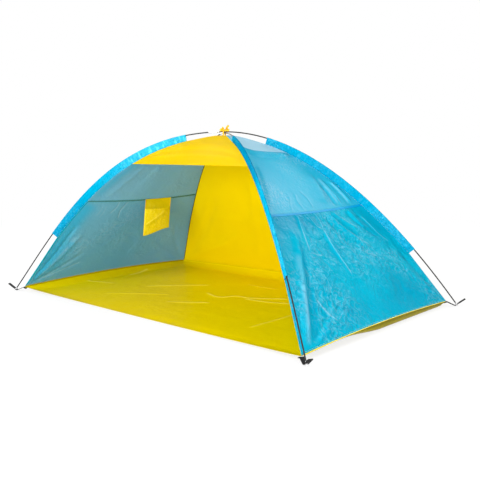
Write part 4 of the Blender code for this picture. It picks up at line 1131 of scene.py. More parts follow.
TAFFETAS = (
    ("blue_taffeta", (0.0, 0.525, 0.75), (0.002, 0.61, 0.815), 0.34, 0.008, dict(BLUE_PAINT, painted_crease_shade=0.6)),
    ("blue_taffeta_left", (0.0, 0.525, 0.75), (0.002, 0.61, 0.815), 0.34, 0.008, dict(BLUE_PAINT, painted_crease_shade=0.2)),
    # The upper panels' copy of the blue, paler: painted sheen of cloth that faces the sky more.
    ("blue_taffeta_upper", (0.016, 0.54, 0.79), (0.034, 0.6, 0.84), 0.5, 0.0016, UPPER_PAINT),
    # The walls' inside: the same blue cloth, painted greyer and darker as its shade.
    ("blue_taffeta_inside", (0.165, 0.42, 0.48), (0.2, 0.465, 0.53), 0.4, 0.003, INSIDE_PAINT),
    ("blue_sleeve", (0.0, 0.27, 0.455), (0.0, 0.352, 0.545), 0.38, 0.003, SLEEVE_PAINT),
    ("yellow_taffeta", (0.77, 0.57, 0.0), (0.82, 0.61, 0.001), 0.44, 0.001, YELLOW_PAINT),
    ("yellow_taffeta_inside", (0.81, 0.68, 0.0), (0.85, 0.715, 0.0), 0.5, 0.0008, BACK_PAINT),
    ("pocket_taffeta", (0.82, 0.64, 0.001), (0.88, 0.69, 0.002), 0.44, 0.0012, POCKET_PAINT),
    ("pocket_binding", (0.78, 0.5, 0.002), (0.86, 0.56, 0.004), 0.5, 0.0004, {}),
    ("yellow_piping", (0.9, 0.7, 0.01), (0.96, 0.76, 0.02), 0.42, 0.0003, {}),
    ("yellow_hem", (0.68, 0.49, 0.0), (0.74, 0.54, 0.001), 0.44, 0.001, dict(shine=0.06)),
    ("seam_inside_blue", (0.02, 0.2, 0.23), (0.03, 0.24, 0.27), 0.5, 0.0004, {}),
    ("hem_inside_blue", (0.0, 0.33, 0.52), (0.002, 0.4, 0.6), 0.44, 0.001, dict(shine=0.1)),
    # The felled seam's strip, painted darker than the wall's blue as the shade of its step.
    ("seam_outside_blue", (0.0, 0.3, 0.62), (0.0, 0.36, 0.68), 0.5, 0.0004, dict(shine=0.05)),
    ("seam_inside_olive", (0.06, 0.08, 0.006), (0.08, 0.1, 0.008), 0.6, 0.0004, dict(shine=0.05)),
)


def make_materials():
    for *sizes, more in TAFFETAS:
        taffeta(*sizes, **more)
    groundsheet_material("groundsheet_top", (0.75, 0.57, 0.0), (0.78, 0.595, 0.0), 0.01)
    # The groundsheet's underside, painted olive as its shade.
    groundsheet_material("groundsheet_under_painted_shade", (0.4, 0.33, 0.0), (0.48, 0.39, 0.001), 0.04)
    webbing_material()
    dark, light = (0.004,) * 3, (0.013,) * 3
    streaked_material(
        "fibreglass", 0.42, (900.0, 9.0, 1.0), dark, light, (0.36, 0.50), 0.00005, Specular_IOR_Level=0.30
    )
    dark, light = (0.62, 0.62, 0.63), (0.82, 0.82, 0.83)
    streaked_material("steel", 0.26, (160.0, 2600.0, 1.0), dark, light, (0.20, 0.36), 0.00002, Metallic=1.0)
    cord_material()
    ribbon_material()
    thread_material("blue_thread", (0.0, 0.29, 0.46))
    thread_material("yellow_thread", (0.86, 0.64, 0.01))


make_materials()

# Pieces

CLOTH = 0.0006
TENT, POUCH = "tent", "pocket_pouch"
BLUE, YELLOW = "blue_fabric", "yellow_fabric"


def settle(piece, body, slot, *nodes):
    """The piece rides on a body and stands for its solids, which are hidden. The slot is not used."""
    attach(piece, body)
    if nodes:
        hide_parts(*nodes)


def solid_piece(name, points, faces, material, uv):
    """A closed piece whose faces look outwards."""
    made = add_piece(name, points, faces, [material], uv)
    work = bmesh.new()
    work.from_mesh(made.data)
    bmesh.ops.recalc_face_normals(work, faces=work.faces)
    if work.calc_volume(signed=True) < 0.0:
        bmesh.ops.reverse_faces(work, faces=work.faces)
    work.to_mesh(made.data)
    work.free()
    return made


def share_grid(columns, rows, crowding=0.0):
    """Shares across and up, with rows closer together towards the top by crowding."""
    up = np.linspace(0.0, 1.0, rows + 1)
    up = up * (1.0 + crowding * (1.0 - up))
    return np.meshgrid(np.linspace(0.0, 1.0, columns + 1), up)


def add_panel(node_name, face, columns, rows, materials, slot, crowding=0.0):
    across, up = share_grid(columns, rows, crowding)
    points, faces = face.at(across, up).reshape(-1, 3), grid_faces(rows + 1, columns + 1)
    uv = paired(*face.flat(across, up))
    marks = shades(face.relief.tint(uv[..., 0], uv[..., 1], across, up))
    made = sheet_piece(f"{node_name}_cloth", points, faces, CLOTH, materials, uv.reshape(-1, 2), marks)
    settle(made, TENT, slot, node_name)


def add_walls():
    inside = "blue_taffeta_inside"
    right, left, upper = ["blue_taffeta", inside], ["blue_taffeta_left", inside], ["blue_taffeta_upper", inside]
    yellow = ["yellow_taffeta", "yellow_taffeta_inside"]
    add_panel("right_wall_lower_panel", RIGHT_LOWER, 300, 148, right, BLUE)
    add_panel("right_wall_upper_panel", RIGHT_UPPER, 170, 100, upper, BLUE, 0.6)
    add_panel("left_wall_lower_panel", LEFT_LOWER, 260, 126, left, BLUE)
    add_panel("left_wall_upper_panel", LEFT_UPPER, 104, 56, upper, BLUE, 0.6)
    add_panel("back_wall", BACK_WALL, 160, 96, yellow, YELLOW, 0.6)
    add_panel("visor", VISOR, 110, 50, yellow, YELLOW, 0.6)


# Groundsheet

RIM_SPREAD, RIM_CURVE = 0.115, 2.3
STEEP_SPREAD, STEEP_CURVE = 0.045, 5.0


def rim_height(from_edge, height, steep=0.0):
    """The rim hangs from the wall in a soft curve, or nearly straight down where it is steep."""
    soft = np.maximum(1.0 - from_edge / RIM_SPREAD, 0.0) ** RIM_CURVE
    sharp = np.maximum(1.0 - from_edge / STEEP_SPREAD, 0.0) ** STEEP_CURVE
    return height * mix(soft, sharp, steep)


def floor_height(x, y):
    """Height of the groundsheet before its creases."""
    u, v = x / FLOOR_WIDTH + 0.5, y / FLOOR_DEPTH + 0.5
    steep = eased((v - 0.25) / 0.25) * (x > 0.0)
    side = rim_height(FLOOR_WIDTH / 2.0 - np.abs(x), CORNER_HEIGHT + hem_height(v), steep)
    back = rim_height(FLOOR_DEPTH / 2.0 - y, CORNER_HEIGHT + hem_height(u))
    edge = CORNER_HEIGHT - FRONT_EDGE_DROP * np.sqrt(np.maximum(arch(u), 0.0))
    front = rim_height(FLOOR_DEPTH / 2.0 + y, edge)
    return np.maximum(np.maximum(side, back), front) - HEM_SEAT


FLOOR_STROKES = (
    (PINCH, 0.01, 0.004, -1.05, -0.27, -0.95, -0.23, -0.84, -0.2),
    (PINCH, 0.01, 0.0038, -0.62, -0.12, -0.46, 0.049, -0.31, 0.2),
    (PINCH, 0.01, 0.0038, -0.64, -0.44, -0.46, -0.3, -0.3, -0.185),
    (PINCH, 0.01, 0.005, -0.19, 0.02, -0.1, -0.03, -0.01, -0.04, 0.04, 0.05, 0.16, 0.07, 0.35, 0.23),
    (PINCH, 0.01, 0.0042, 0.12, 0.02, 0.28, 0.05, 0.46, 0.13),
    (PINCH, 0.01, 0.0046, 0.58, -0.47, 0.584, -0.28, 0.586, -0.06),
    (PINCH, 0.009, 0.003, -1.0, 0.06, -1.02, 0.18, -1.06, 0.3),
    (PINCH, 0.01, 0.0026, -0.18, -0.35, -0.06, -0.27, 0.04, -0.19),
    (PINCH, 0.009, 0.0026, -0.16, 0.38, -0.02, 0.374, 0.1, 0.4),
    (PINCH, 0.01, 0.003, 0.58, 0.02, 0.57, 0.3, 0.56, 0.6),
)
FLOOR_LINES = [smooth_line(np.reshape(places, (-1, 2))) for _, _, _, *places in FLOOR_STROKES]
FLOOR_TINT_WIDTH = 0.0060


def floor_relief(x, y):
    total = 0.0020 * (0.5 + 0.5 * Noise(201)(x / 0.30, y / 0.22))
    total = total + 0.0012 * crumple(x, y, 0.20, 211, 2)
    for (kind, width, height, *_), line in zip(FLOOR_STROKES, FLOOR_LINES):
        total = total + stroke(x, y, kind, line, width, height, 0.10)
    inner = np.minimum(FLOOR_WIDTH / 2.0 - np.abs(x), FLOOR_DEPTH / 2.0 - np.abs(y))
    return total * eased((inner - 0.012) / 0.075)


def floor_places(half):
    inner = half - RIM_WIDTH
    rim = np.append(np.linspace(inner, half - 0.0030, 8), half)
    middle = np.linspace(-inner, inner, int(round(2.0 * inner / FLOOR_STEP)) + 1)[1:-1]
    return np.concatenate([-rim[::-1], middle, rim])


def floor_points(x, y):
    ahead = eased((FLOOR_DEPTH / 2.0 - y) / FLOOR_DEPTH) * FRONT_EDGE_INSET
    inset = ahead * np.sqrt(np.maximum(arch(x / FLOOR_WIDTH + 0.5), 0.0))
    height = np.maximum(floor_height(x, y), CLOTH / 2.0 + 0.0001) + floor_relief(x, y)
    return np.stack([x, y + inset, height], axis=-1)


SEWN_IN, SEWN_UNDER = 0.0040, 0.0008
FIRST_SEWN, LAST_SEWN = 0.004, 0.996
FLOOR_STEP = 0.0080


def add_floor():
    """The side and back edges are turned up and sewn against the inside of the walls' hems."""
    across, along = floor_places(FLOOR_WIDTH / 2.0), floor_places(FLOOR_DEPTH / 2.0)
    x, y = np.meshgrid(across, along)
    points = floor_points(x, y)
    u, v = across / FLOOR_WIDTH + 0.5, along / FLOOR_DEPTH + 0.5
    for face, row, share in (
        (BACK_WALL, points[-1], 1.0 - u),
        (LEFT_LOWER, points[:, 0], 1.0 - v),
        (RIGHT_LOWER, points[:, -1], v),
    ):
        row[:] = face.at(np.clip(share, FIRST_SEWN, LAST_SEWN), SEWN_IN / face.height, -SEWN_UNDER)
    # Painted highlights along the floor's creases, weaker on every third line, painted shade across the rim by
    # the side walls, and a dark line where the floor is sewn to them.
    lines = [(line, FLOOR_TINT_WIDTH, 0.8 - 0.5 * (i % 3 == 2)) for i, line in enumerate(FLOOR_LINES)]
    from_wall = FLOOR_WIDTH / 2.0 - np.abs(x)
    amount = tints(x, y, lines) - 0.10 * eased(1.0 - from_wall / RIM_SPREAD)
    marks = shades(np.where(from_wall < SEWN_IN, -0.6, amount))
    materials = ["groundsheet_top", "groundsheet_under_painted_shade"]
    uv = paired(x, y).reshape(-1, 2)
    points, faces = points.reshape(-1, 3), grid_faces(*x.shape)
    made = sheet_piece("groundsheet_cloth", points, faces, CLOTH, materials, uv, marks)
    settle(made, TENT, "groundsheet", "groundsheet")


PIPING = 0.0035
PIPING_STATIONS, PIPING_SIDES = 150, 10


def add_piping(node_name, face, front):
    """Piping whose tape shows below it near the front corner."""
    across = np.linspace(FIRST_SEWN, LAST_SEWN, PIPING_STATIONS)
    swell = PIPING / 2.0 * (1.0 + 0.05 * Noise(301)(across * 40.0, 0.5))
    line = face.at(across, 0.0) + face.facing * (PIPING / 2.0 + CLOTH / 2.0 + 0.0002) - UP * 0.0004
    route = Line(line)
    heading = route.heading(route.runs)
    level = unit(np.cross(heading, UP))
    order = np.arange(PIPING_STATIONS)
    fade = np.clip(np.minimum(order, order[::-1]) / 2.0, 0.35, 1.0)
    outline = circle(1.0, PIPING_SIDES)[None] * (swell * fade)[:, None, None]
    tall = 1.0 + 1.1 * np.exp(-(np.abs(across - front) / 0.22) ** 2)
    outline = outline * paired(np.ones_like(tall), tall)[:, None]
    outline[..., 1] -= ((tall - 1.0) * PIPING / 2.0 * 0.5)[:, None] * np.sign(np.cross(heading[0], level[0])[2])
    points, faces = swept(line, (level, np.cross(heading, level)), outline)
    uv = ring_uv(PIPING_SIDES, PIPING * 3.14 / PIPING_SIDES, route.runs)
    settle(solid_piece(f"{node_name}_cord", points, faces, "yellow_piping", uv), TENT, YELLOW, node_name)


# Sleeves

SLEEVE_RADIUS = 0.0054
SLEEVE_CLOTH = 0.0005
SLEEVE_SIDE_STEPS, SLEEVE_TOP_STEPS = 12, 10
SLEEVE_STATION = 0.0065
SLEEVE_HEM, SLEEVE_HEM_CLOTH = 0.011, 0.0011
SLEEVE_SEAM = 0.0004


def sleeve_outline(depth, buckle):
    """Across and down sizes from one side of the seam, over the pole, to the other side."""
    share = np.linspace(1.0, 0.0, SLEEVE_SIDE_STEPS, endpoint=False)
    turn = np.linspace(0.0, math.pi, SLEEVE_TOP_STEPS + 1)
    wide = mix(SLEEVE_RADIUS, 0.0006, share)
    down = mix(0.0004, depth, share)
    shift = buckle * np.sin(math.pi * share) ** 0.7
    right = np.stack([wide + shift, down], axis=-1)
    top = np.stack([np.cos(turn) * SLEEVE_RADIUS, -np.sin(turn) * SLEEVE_RADIUS * 0.95], axis=-1)
    left = np.stack([-wide + shift, down], axis=-1)[::-1]
    return np.concatenate([right, top, left])


def sleeve_tint(corner, climbed):
    """Paler above 0, deeper below: the light falls differently on each ridge."""
    if corner == "front_right":
        return -0.62 * eased((climbed - 0.42) / 0.25)
    if corner != "front_left":
        return 0.0
    pale = 0.18 * eased((climbed - 0.50) / 0.20)
    return pale - 0.10 * eased((0.70 - climbed) / 0.15) - 0.40 * eased((0.40 - climbed) / 0.25)


def crossed_share(corner, climbed):
    """How strongly the painted highlights of the wrinkles across a sleeve show."""
    return eased((climbed - 0.50) / 0.20) if corner == "front_left" else 0.25


def add_sleeve(corner, seed):
    route, side = HALF_POLES[corner], side_way(corner)
    start, end = FOOT_GAPS[corner], route.length - PEAK_GAPS[corner]
    runs = np.linspace(start, end, int((end - start) / SLEEVE_STATION) + 1)
    centre, down = route.at(runs), below(route, runs)
    depths = seam_depth(corner, runs) - SLEEVE_SEAM
    noise = [Noise(seed + k) for k in range(4)]
    share = np.linspace(1.0, 0.0, SLEEVE_SIDE_STEPS, endpoint=False)
    loops, marks = [], []
    for run, depth in zip(runs, depths):
        climbed = (run - start) / (end - start)
        near_end = math.exp(-min(run - start, end - run) / 0.10)
        slanted = (run + share * 0.016) / 0.030
        coarse = noise[0](slanted, share * 0.9)
        fine = noise[1](slanted * 2.3, share * 2.0 + 7.0)
        loop = sleeve_outline(depth, (0.0034 + 0.0022 * near_end) * (coarse + 0.5 * fine))
        apart = np.abs(0.0022 * noise[2](slanted * 1.3, share * 1.5 + 3.0) * np.sin(math.pi * share))
        loop[:SLEEVE_SIDE_STEPS, 0] += apart
        loop[-SLEEVE_SIDE_STEPS:, 0] -= apart[::-1]
        loops.append(loop)
        # Marks for the second layer of UVs: painted highlights of the puckers and of the wrinkles across,
        # painted shade along both seams (low), and sleeve_tint's painted light for each ridge.
        puckers = np.maximum(noise[3](slanted * 1.7, share * 1.6) - 0.34, 0.0) * (0.55 + 0.75 * near_end)
        wrinkles = np.maximum(noise[3](run / 0.011, share * 0.8 + 11.0) - 0.15, 0.0)
        wrinkles *= crossed_share(corner, climbed)
        low = np.exp(-(((1.0 - share) * depth / 0.0050) ** 2)) * 0.30
        half = np.clip(puckers * 0.6 + wrinkles, 0.0, 0.7) * (1.0 - low) - low + sleeve_tint(corner, climbed)
        half = np.clip(half, -1.0, 1.0)
        marks.append(np.concatenate([half, np.full(SLEEVE_TOP_STEPS + 1, half[-1]), half[::-1]]))
    loops = np.array(loops)
    points, faces = swept(centre, (np.broadcast_to(side, centre.shape), down), loops, closed_ends=False)
    hemmed = np.minimum(runs - start, end - runs) < SLEEVE_HEM
    thickness = np.repeat(np.where(hemmed, SLEEVE_HEM_CLOTH, SLEEVE_CLOTH), loops.shape[1])
    around = np.cumsum(np.linalg.norm(np.diff(loops[0], axis=0, prepend=loops[0][:1]), axis=1))
    uv = paired(*np.meshgrid(around, runs)).reshape(-1, 2)
    marks = shades(np.array(marks))
    made = sheet_piece(f"sleeve_{corner}_cloth", points, faces, thickness, ["blue_sleeve"], uv, marks)
    settle(made, TENT, BLUE, f"sleeve_{corner}")


# Poles

POLE_SIDES, PIN_SIDES = 16, 20
TUBE_STATION = 0.018
TUBE_START = PIN_LENGTH + SHOULDER_LENGTH + CLEARANCE


def add_lathed(name, route, side, profile, material, node_name):
    """A tube or a ferrule on a pole's line."""
    points, faces = turned_along(route, side, profile, POLE_SIDES)
    step = 2.0 * math.pi * POLE_DIAMETER / 2.0 / POLE_SIDES
    uv = ring_uv(POLE_SIDES, step, np.array(profile)[:, 0])
    settle(solid_piece(name, points, faces, material, uv), TENT, material, node_name)


def add_pole(label, first, second):
    route = whole_pole(first, second)
    side = np.cross(corner_direction(second), UP)
    even = route.length / TUBE_COUNT
    joints = [even * i - JOINT_SHIFT for i in range(1, TUBE_COUNT)]
    ends = [TUBE_START, *joints, route.length - TUBE_START]
    for i in range(TUBE_COUNT):
        low, high = ends[i] + CLEARANCE / 2.0, ends[i + 1] - CLEARANCE / 2.0
        runs = np.linspace(low, high, int((high - low) / TUBE_STATION) + 1)
        profile = [(run, POLE_DIAMETER / 2.0) for run in runs] + [(run, POLE_BORE / 2.0) for run in runs[::-1]]
        name = f"{label}_tube_{i + 1}"
        add_lathed(f"{name}_rod", route, side, profile, "fibreglass", name)
    for i, joint in enumerate(joints):
        name = f"{label}_ferrule_{i + 1}"
        add_lathed(f"{name}_tube", route, side, ferrule_profile(joint), "steel", name)
    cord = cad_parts[f"{label}_shock_cord"]
    cord.data.materials.clear()
    cord.data.materials.append(MATERIALS["elastic_cord"])


def ferrule_profile(joint):
    """A drawn tube with rounded ends and a crimp near each."""
    half, outer, inner = FERRULE_LENGTH / 2.0, FERRULE_DIAMETER / 2.0, POLE_DIAMETER / 2.0 + 0.0002
    one_end = [(half, inner), (half, outer - 0.0004), (half - 0.0005, outer), (half - 0.0070, outer)]
    one_end += [(half - 0.0078, outer - 0.00035), (half - 0.0086, outer), (half - 0.020, outer)]
    left = [(joint - run, radius) for run, radius in one_end]
    right = [(joint + run, radius) for run, radius in reversed(one_end)]
    return left + [(joint, outer)] + right + [(joint, inner)]


def add_tip(corner):
    pin, shoulder = PIN_LENGTH, PIN_LENGTH + SHOULDER_LENGTH
    thin, thick, spigot = PIN_DIAMETER / 2.0, POLE_DIAMETER / 2.0, SPIGOT_DIAMETER / 2.0
    profile = [(0.0, 0.0008), (0.0003, 0.0014), (0.0009, 0.0019), (0.0018, thin), (0.0060, thin)]
    profile += [(pin - 0.0006, thin), (pin - 0.0001, 0.0025), (pin, 0.0030), (pin + 0.0005, thick)]
    profile += [(shoulder - 0.0005, thick), (shoulder, 0.0031)]
    profile += [(shoulder, spigot), (shoulder + SPIGOT_LENGTH, spigot)]
    points, faces = turned_along(HALF_POLES[corner], side_way(corner), profile, PIN_SIDES, hollow=False)
    uv = ring_uv(PIN_SIDES, 0.001, np.array(profile)[:, 0])
    made = solid_piece(f"pole_tip_{corner}_pin", points, faces, "steel", uv)
    settle(made, TENT, "steel", f"pole_tip_{corner}")


# Corners: webbing, eyelet and peg tab in one band that bends at the fold

STRAP_WIDTH, STRAP, DOUBLE_STRAP = 0.025, 0.0014, 0.0030
STRAP_TUCK, STRAP_EAR = 0.012, 0.004
STRAP_COLUMNS = 9
SOLID_STRAP = 0.0015
PIN_REACH, FOLD_TO_PIN, PIN_TO_HINGE = 0.010, 0.0112, 0.0125
TAB_LENGTH, TAB_ROUNDING = 0.046, 0.006
STRAP_HOLE = 0.0037


def corner_places(corner):
    """The pin's crossing with the strap, and the directions that the strap follows."""
    route = HALF_POLES[corner]
    outward_way = corner_direction(corner)
    crossing, climb = route.at(PIN_REACH), route.heading(PIN_REACH)
    slope = unit(outward_way * climb[2] + UP * -(climb @ outward_way))
    return crossing, climb, slope


def rounded(points, radius, steps=5):
    """A bent line whose inner corners are arcs."""
    points = [np.asarray(point, float) for point in points]
    out = [points[0]]
    for before, here, after in zip(points, points[1:], points[2:]):
        back, ahead = unit(before - here), unit(after - here)
        half = math.acos(np.clip(back @ ahead, -1.0, 1.0)) / 2.0
        room = 0.48 * min(np.linalg.norm(before - here), np.linalg.norm(after - here))
        cut = min(radius / math.tan(half), room)
        for t in np.linspace(0.0, 1.0, steps + 1):
            start, end = here + back * cut, here + ahead * cut
            out.append(mix(mix(start, here, t), mix(here, end, t), t))
    return np.array(out + [points[-1]])


def strap_path(corner):
    crossing, _, slope = corner_places(corner)
    outward_way = corner_direction(corner)
    under = SOLID_CLOTH / 2.0 + SOLID_STRAP / 2.0 + CLEARANCE * 2.0 + HEM_SEAT
    tucked = outward_way * (HALF_DIAGONAL - STRAP_TUCK)
    edge = outward_way * (HALF_DIAGONAL + STRAP_EAR) + UP * (CORNER_HEIGHT - under)
    further = tucked - outward_way * (STRAP_WIDTH / 2.0)
    start = tucked + UP * (float(floor_height(further[0], further[1])) - under + HEM_SEAT)
    start[2] = min(start[2], edge[2])
    near = rounded([start, edge, crossing - slope * FOLD_TO_PIN, crossing], 0.0030)
    straight = [crossing + slope * (PIN_TO_HINGE + TAB_LENGTH)]
    return Line(np.concatenate([near, straight])), Line(near).length


def strap_grid(pin_run):
    """Places (across, distance) and faces of a band with a round hole at the pin."""
    half, hinge = STRAP_WIDTH / 2.0, pin_run + PIN_TO_HINGE
    widths = np.linspace(-half, half, STRAP_COLUMNS)
    before = np.linspace(0.0, pin_run - half, 22)
    past_hinge = hinge + np.array([0.0012, 0.0028, 0.0045, 0.0065, 0.009, 0.013])
    after = np.concatenate([[pin_run + half], past_hinge, np.linspace(hinge + 0.018, hinge + TAB_LENGTH, 8)])
    places, faces = [], []

    def rows(stations):
        first = len(places)
        places.extend((width, station) for station in stations for width in widths)
        faces.extend(tuple(first + i for i in face) for face in grid_faces(len(stations), STRAP_COLUMNS))
        return first

    rows(before)
    low = len(places) - STRAP_COLUMNS
    high = rows(after)
    left, right = [], []
    for station in np.linspace(pin_run - half, pin_run + half, 9)[1:-1]:
        left.append(len(places))
        right.append(len(places) + 1)
        places += [(-half, station), (half, station)]
    ring = [low + i for i in range(STRAP_COLUMNS)] + right
    ring += [high + STRAP_COLUMNS - 1 - i for i in range(STRAP_COLUMNS)] + left[::-1]
    rim = np.array([places[i] for i in ring])
    middle = np.array([0.0, pin_run])
    hole = middle + unit(rim - middle) * STRAP_HOLE
    for share in (0.3, 0.6, 0.85, 1.0):
        following = range(len(places), len(places) + len(ring))
        places += [tuple(place) for place in mix(rim, hole, share)]
        for i in range(len(ring)):
            j = (i + 1) % len(ring)
            faces.append((ring[i], ring[j], following[j], following[i]))
        ring = following
    return np.array(places), faces


def add_strap(corner):
    """A band from under the floor's corner, over the pin, to the peg tab's end."""
    route, pin_run = strap_path(corner)
    side = side_way(corner)
    places, faces = strap_grid(pin_run)
    wide, run = places.T
    rounding = np.maximum(run - (route.length - TAB_ROUNDING), 0.0) / TAB_ROUNDING
    across = wide * (1.0 - 0.22 * rounding**2)
    sag = 0.0004 * Noise(401)(wide / 0.012, run / 0.02) * (run < pin_run - STRAP_WIDTH * 0.75)
    square = np.cross(side, route.heading(run))
    points = route.at(run) + side * across[:, None] + square * sag[:, None]
    thickness = mix(STRAP, DOUBLE_STRAP, eased((np.abs(run - pin_run) - STRAP_WIDTH * 0.6) / 0.004))
    made = sheet_piece(f"corner_webbing_{corner}", points, faces, thickness, ["webbing"], places)
    crossing, _, slope = corner_places(corner)
    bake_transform(made)
    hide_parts(f"corner_strap_{corner}", f"peg_tab_{corner}")


EYELET_SIDES, EYELET_REACH = 28, 0.0020


def add_eyelet(corner):
    crossing, climb, _ = corner_places(corner)
    profile = [(-0.00165, 0.0031), (-0.00172, 0.0046), (-0.00150, 0.0061)]
    profile += [(-0.00118, 0.0065), (-0.00100, 0.0061), (-0.00098, 0.0035)]
    profile += [(-along, radius) for along, radius in profile[::-1]]
    profile = np.array(profile + [(0.0012, 0.0026), (-0.0012, 0.0026)])
    route = Line([crossing - climb * EYELET_REACH, crossing + climb * EYELET_REACH])
    points, faces = turned_along(route, side_way(corner), profile + (EYELET_REACH, 0.0), EYELET_SIDES)
    uv = ring_uv(EYELET_SIDES, 0.0014, profile[:, 1])
    settle(solid_piece(f"eyelet_{corner}_ring", points, faces, "steel", uv), TENT, "steel", f"eyelet_{corner}")


# Pocket on the left wall's seam

POCKET_START, POCKET_WIDTH = 0.430, 0.220
POCKET_FRONT_DROP, POCKET_BACK_DROP = 0.240, 0.205
POCKET_LEAN, POCKET_MOUTH_DROP = 0.030, 0.064
POCKET_FULLNESS = 0.014
POCKET_STAND_OFF = 0.00045
POCKET_FOLD = smooth_line(((0.000, 0.172), (0.060, 0.142), (0.115, 0.112), (0.165, 0.080)))
POCKET_SHADE = smooth_line(((0.010, 0.184), (0.070, 0.156), (0.125, 0.128), (0.180, 0.100)))
POCKET_SIDE_FOLD = smooth_line(((0.20, 0.075), (0.15, 0.12), (0.13, 0.18)))
# Painted highlight along the pocket's fold and painted shade beside it.
POCKET_TINTS = ((POCKET_FOLD, 0.0040, 0.75), (POCKET_SHADE, 0.0090, -0.30))
BINDING_OUTLINE = (
    *((-0.0007, -0.0010), (0.0007, -0.0010), (0.0010, 0.0004), (0.0010, 0.0058)),
    *((0.0006, 0.0062), (-0.0006, 0.0062), (-0.0010, 0.0058), (-0.0010, 0.0004)),
)


class Pocket:
    """Places on the pocket: across, depth below the seam and height into the tent."""

    def __init__(self):
        seam = Line(LEFT_LOWER.plain(np.linspace(1.0, 0.0, 60), np.ones(60)))
        start, end = seam.at(POCKET_START), seam.at(POCKET_START + POCKET_WIDTH)
        self.along = unit(end - start)
        self.down = unit(self.along * self.along[2] - UP)
        inward = unit(np.cross(self.down, self.along))
        self.inward = -inward if inward @ start > 0.0 else inward
        off_line = seam.at(POCKET_START + POCKET_WIDTH / 2.0) - (start + end) / 2.0
        bulge, dip = max(off_line @ self.inward, 0.0), max(off_line @ self.down, 0.0)
        stand_off = SOLID_CLOTH + POCKET_STAND_OFF + CLEARANCE + bulge
        self.origin = start + self.inward * stand_off + self.down * (SOLID_CLOTH / 2.0 + dip)

    def at(self, across, depth, height):
        lean = -POCKET_LEAN * depth / POCKET_FRONT_DROP
        along = POCKET_WIDTH * across + lean
        return (
            self.origin
            + self.along * np.asarray(along)[..., None]
            + self.down * np.asarray(depth)[..., None]
            + self.inward * np.asarray(height)[..., None]
        )


def pocket_bottom(across):
    return mix(POCKET_FRONT_DROP, POCKET_BACK_DROP, eased(across))


def pocket_sheet(name, places, amount, pocket, flat, held_by, *nodes):
    """One side of the pocket at places of (across, depth, height)."""
    across, depth, _ = places
    points, uv = pocket.at(*places).reshape(-1, 3), paired(across * POCKET_WIDTH, -depth).reshape(-1, 2)
    faces = grid_faces(*across.shape)
    made = sheet_piece(name, points, faces, CLOTH, ["pocket_taffeta"], uv, shades(amount))
    settle(made, POUCH, YELLOW, *nodes)


def add_pocket():
    pocket, noise = Pocket(), Noise(501)
    across, share = np.meshgrid(np.linspace(0.0, 1.0, 61), np.linspace(0.0, 1.0, 57))
    places = (across, share * pocket_bottom(across), 0.0005 * noise(across * 5.0, share * 6.0))
    # The back sheet is painted darker all over: painted shade.
    amount, held_by = np.full(across.shape, -0.34), ["left_wall_lower_panel_cloth"]
    pocket_sheet("pocket_back", places, amount, pocket, (0.22, 0.24), held_by, "pocket")

    place, depth = across * POCKET_WIDTH, mix(POCKET_MOUTH_DROP, pocket_bottom(across), share)
    bulge, above = np.sin(math.pi * across), 1.0 - share
    height = 0.0013 + POCKET_FULLNESS * bulge**0.6 * above**0.7 * eased(share / 0.05 + 0.72)
    for line, most, width in ((POCKET_FOLD, 0.0034, 0.006), (POCKET_SIDE_FOLD, 0.0020, 0.007)):
        away, _ = beside(place, depth, line)
        height += most * np.exp(-np.abs(away) / width) * eased(share * 6.0) * above
    height += 0.0014 * noise(across * 7.0, share * 5.0) * eased(above * 4.0) * bulge
    height += 0.0012 * noise(across * 22.0, 0.5) * np.exp(-share / 0.10) * bulge
    # Painted highlight along the fold, painted shade beside it and across the pocket's far half.
    amount = tints(place, depth, POCKET_TINTS) - 0.16 * eased((across - 0.5) / 0.5)
    pocket_sheet("pocket_front", (across, depth, height), amount, pocket, (0.235, 0.18), ["pocket_back"])
    add_pocket_binding(pocket)


def add_pocket_binding(pocket):
    """A bound edge round the sides and the bottom."""
    down = np.linspace(0.0, 1.0, 24)
    trail = [(0.0, pocket_bottom(0.0) * t) for t in down]
    trail += [(t, pocket_bottom(t)) for t in np.linspace(0.0, 1.0, 36)[1:-1]]
    trail += [(1.0, pocket_bottom(1.0) * t) for t in down[::-1]]
    across, depth = np.transpose(trail)
    centre = pocket.at(across, depth, np.full(len(trail), 0.0006))
    route = Line(centre)
    inner = np.cross(pocket.inward, route.heading(route.runs))
    middle = pocket.at(0.5, POCKET_FRONT_DROP * 0.5, 0.0)
    toward = np.sign(np.sum(inner * (middle - centre), axis=1))[:, None]
    ways = np.broadcast_to(pocket.inward, centre.shape), inner * toward
    points, faces = swept(centre, ways, BINDING_OUTLINE)
    uv = ring_uv(len(BINDING_OUTLINE), 0.002, route.runs)
    settle(solid_piece("pocket_binding", points, faces, "pocket_binding", uv), POUCH, YELLOW)


# Peak: patch, ribbon, reinforcements

PATCH = 0.0008
SOLID_PATCH = 0.0012
PATCH_REACH = 0.054
PATCH_DROP = SOLID_CLOTH / 2.0 + SOLID_PATCH / 2.0 + CLEARANCE * 4.0
PATCH_SHARES = (0.02, 0.2, 0.35, 0.5, 0.65, 0.8, 0.92, 1.0)
PATCH_STEPS = 8


def add_patch():
    """Rings of points from ridge to ridge, and a fan of faces in their middle."""
    places = []
    for share in PATCH_SHARES:
        ring = [RIDGES[corner].at(run_at_reach(corner, PATCH_REACH * share)) for corner in SIGNS]
        for here, there in zip(ring, ring[1:] + ring[:1]):
            places.extend(mix(here, there, i / PATCH_STEPS) for i in range(PATCH_STEPS))
    points = np.array(places) - UP * PATCH_DROP
    points[:, 2] += 0.0004 * Noise(601)(points[:, 0] / 0.02, points[:, 1] / 0.02)
    middle, count = len(points), PATCH_STEPS * len(SIGNS)
    faces = [face[::-1] for face in grid_faces(len(PATCH_SHARES), count, around=True)]
    faces += [(i, (i + 1) % count, middle) for i in range(count)]
    points = np.concatenate([points, points[:count].mean(axis=0, keepdims=True)])
    made = sheet_piece("peak_patch_cloth", points, faces, PATCH, ["yellow_taffeta_inside"], points[:, :2])
    settle(made, TENT, YELLOW, "peak_patch")


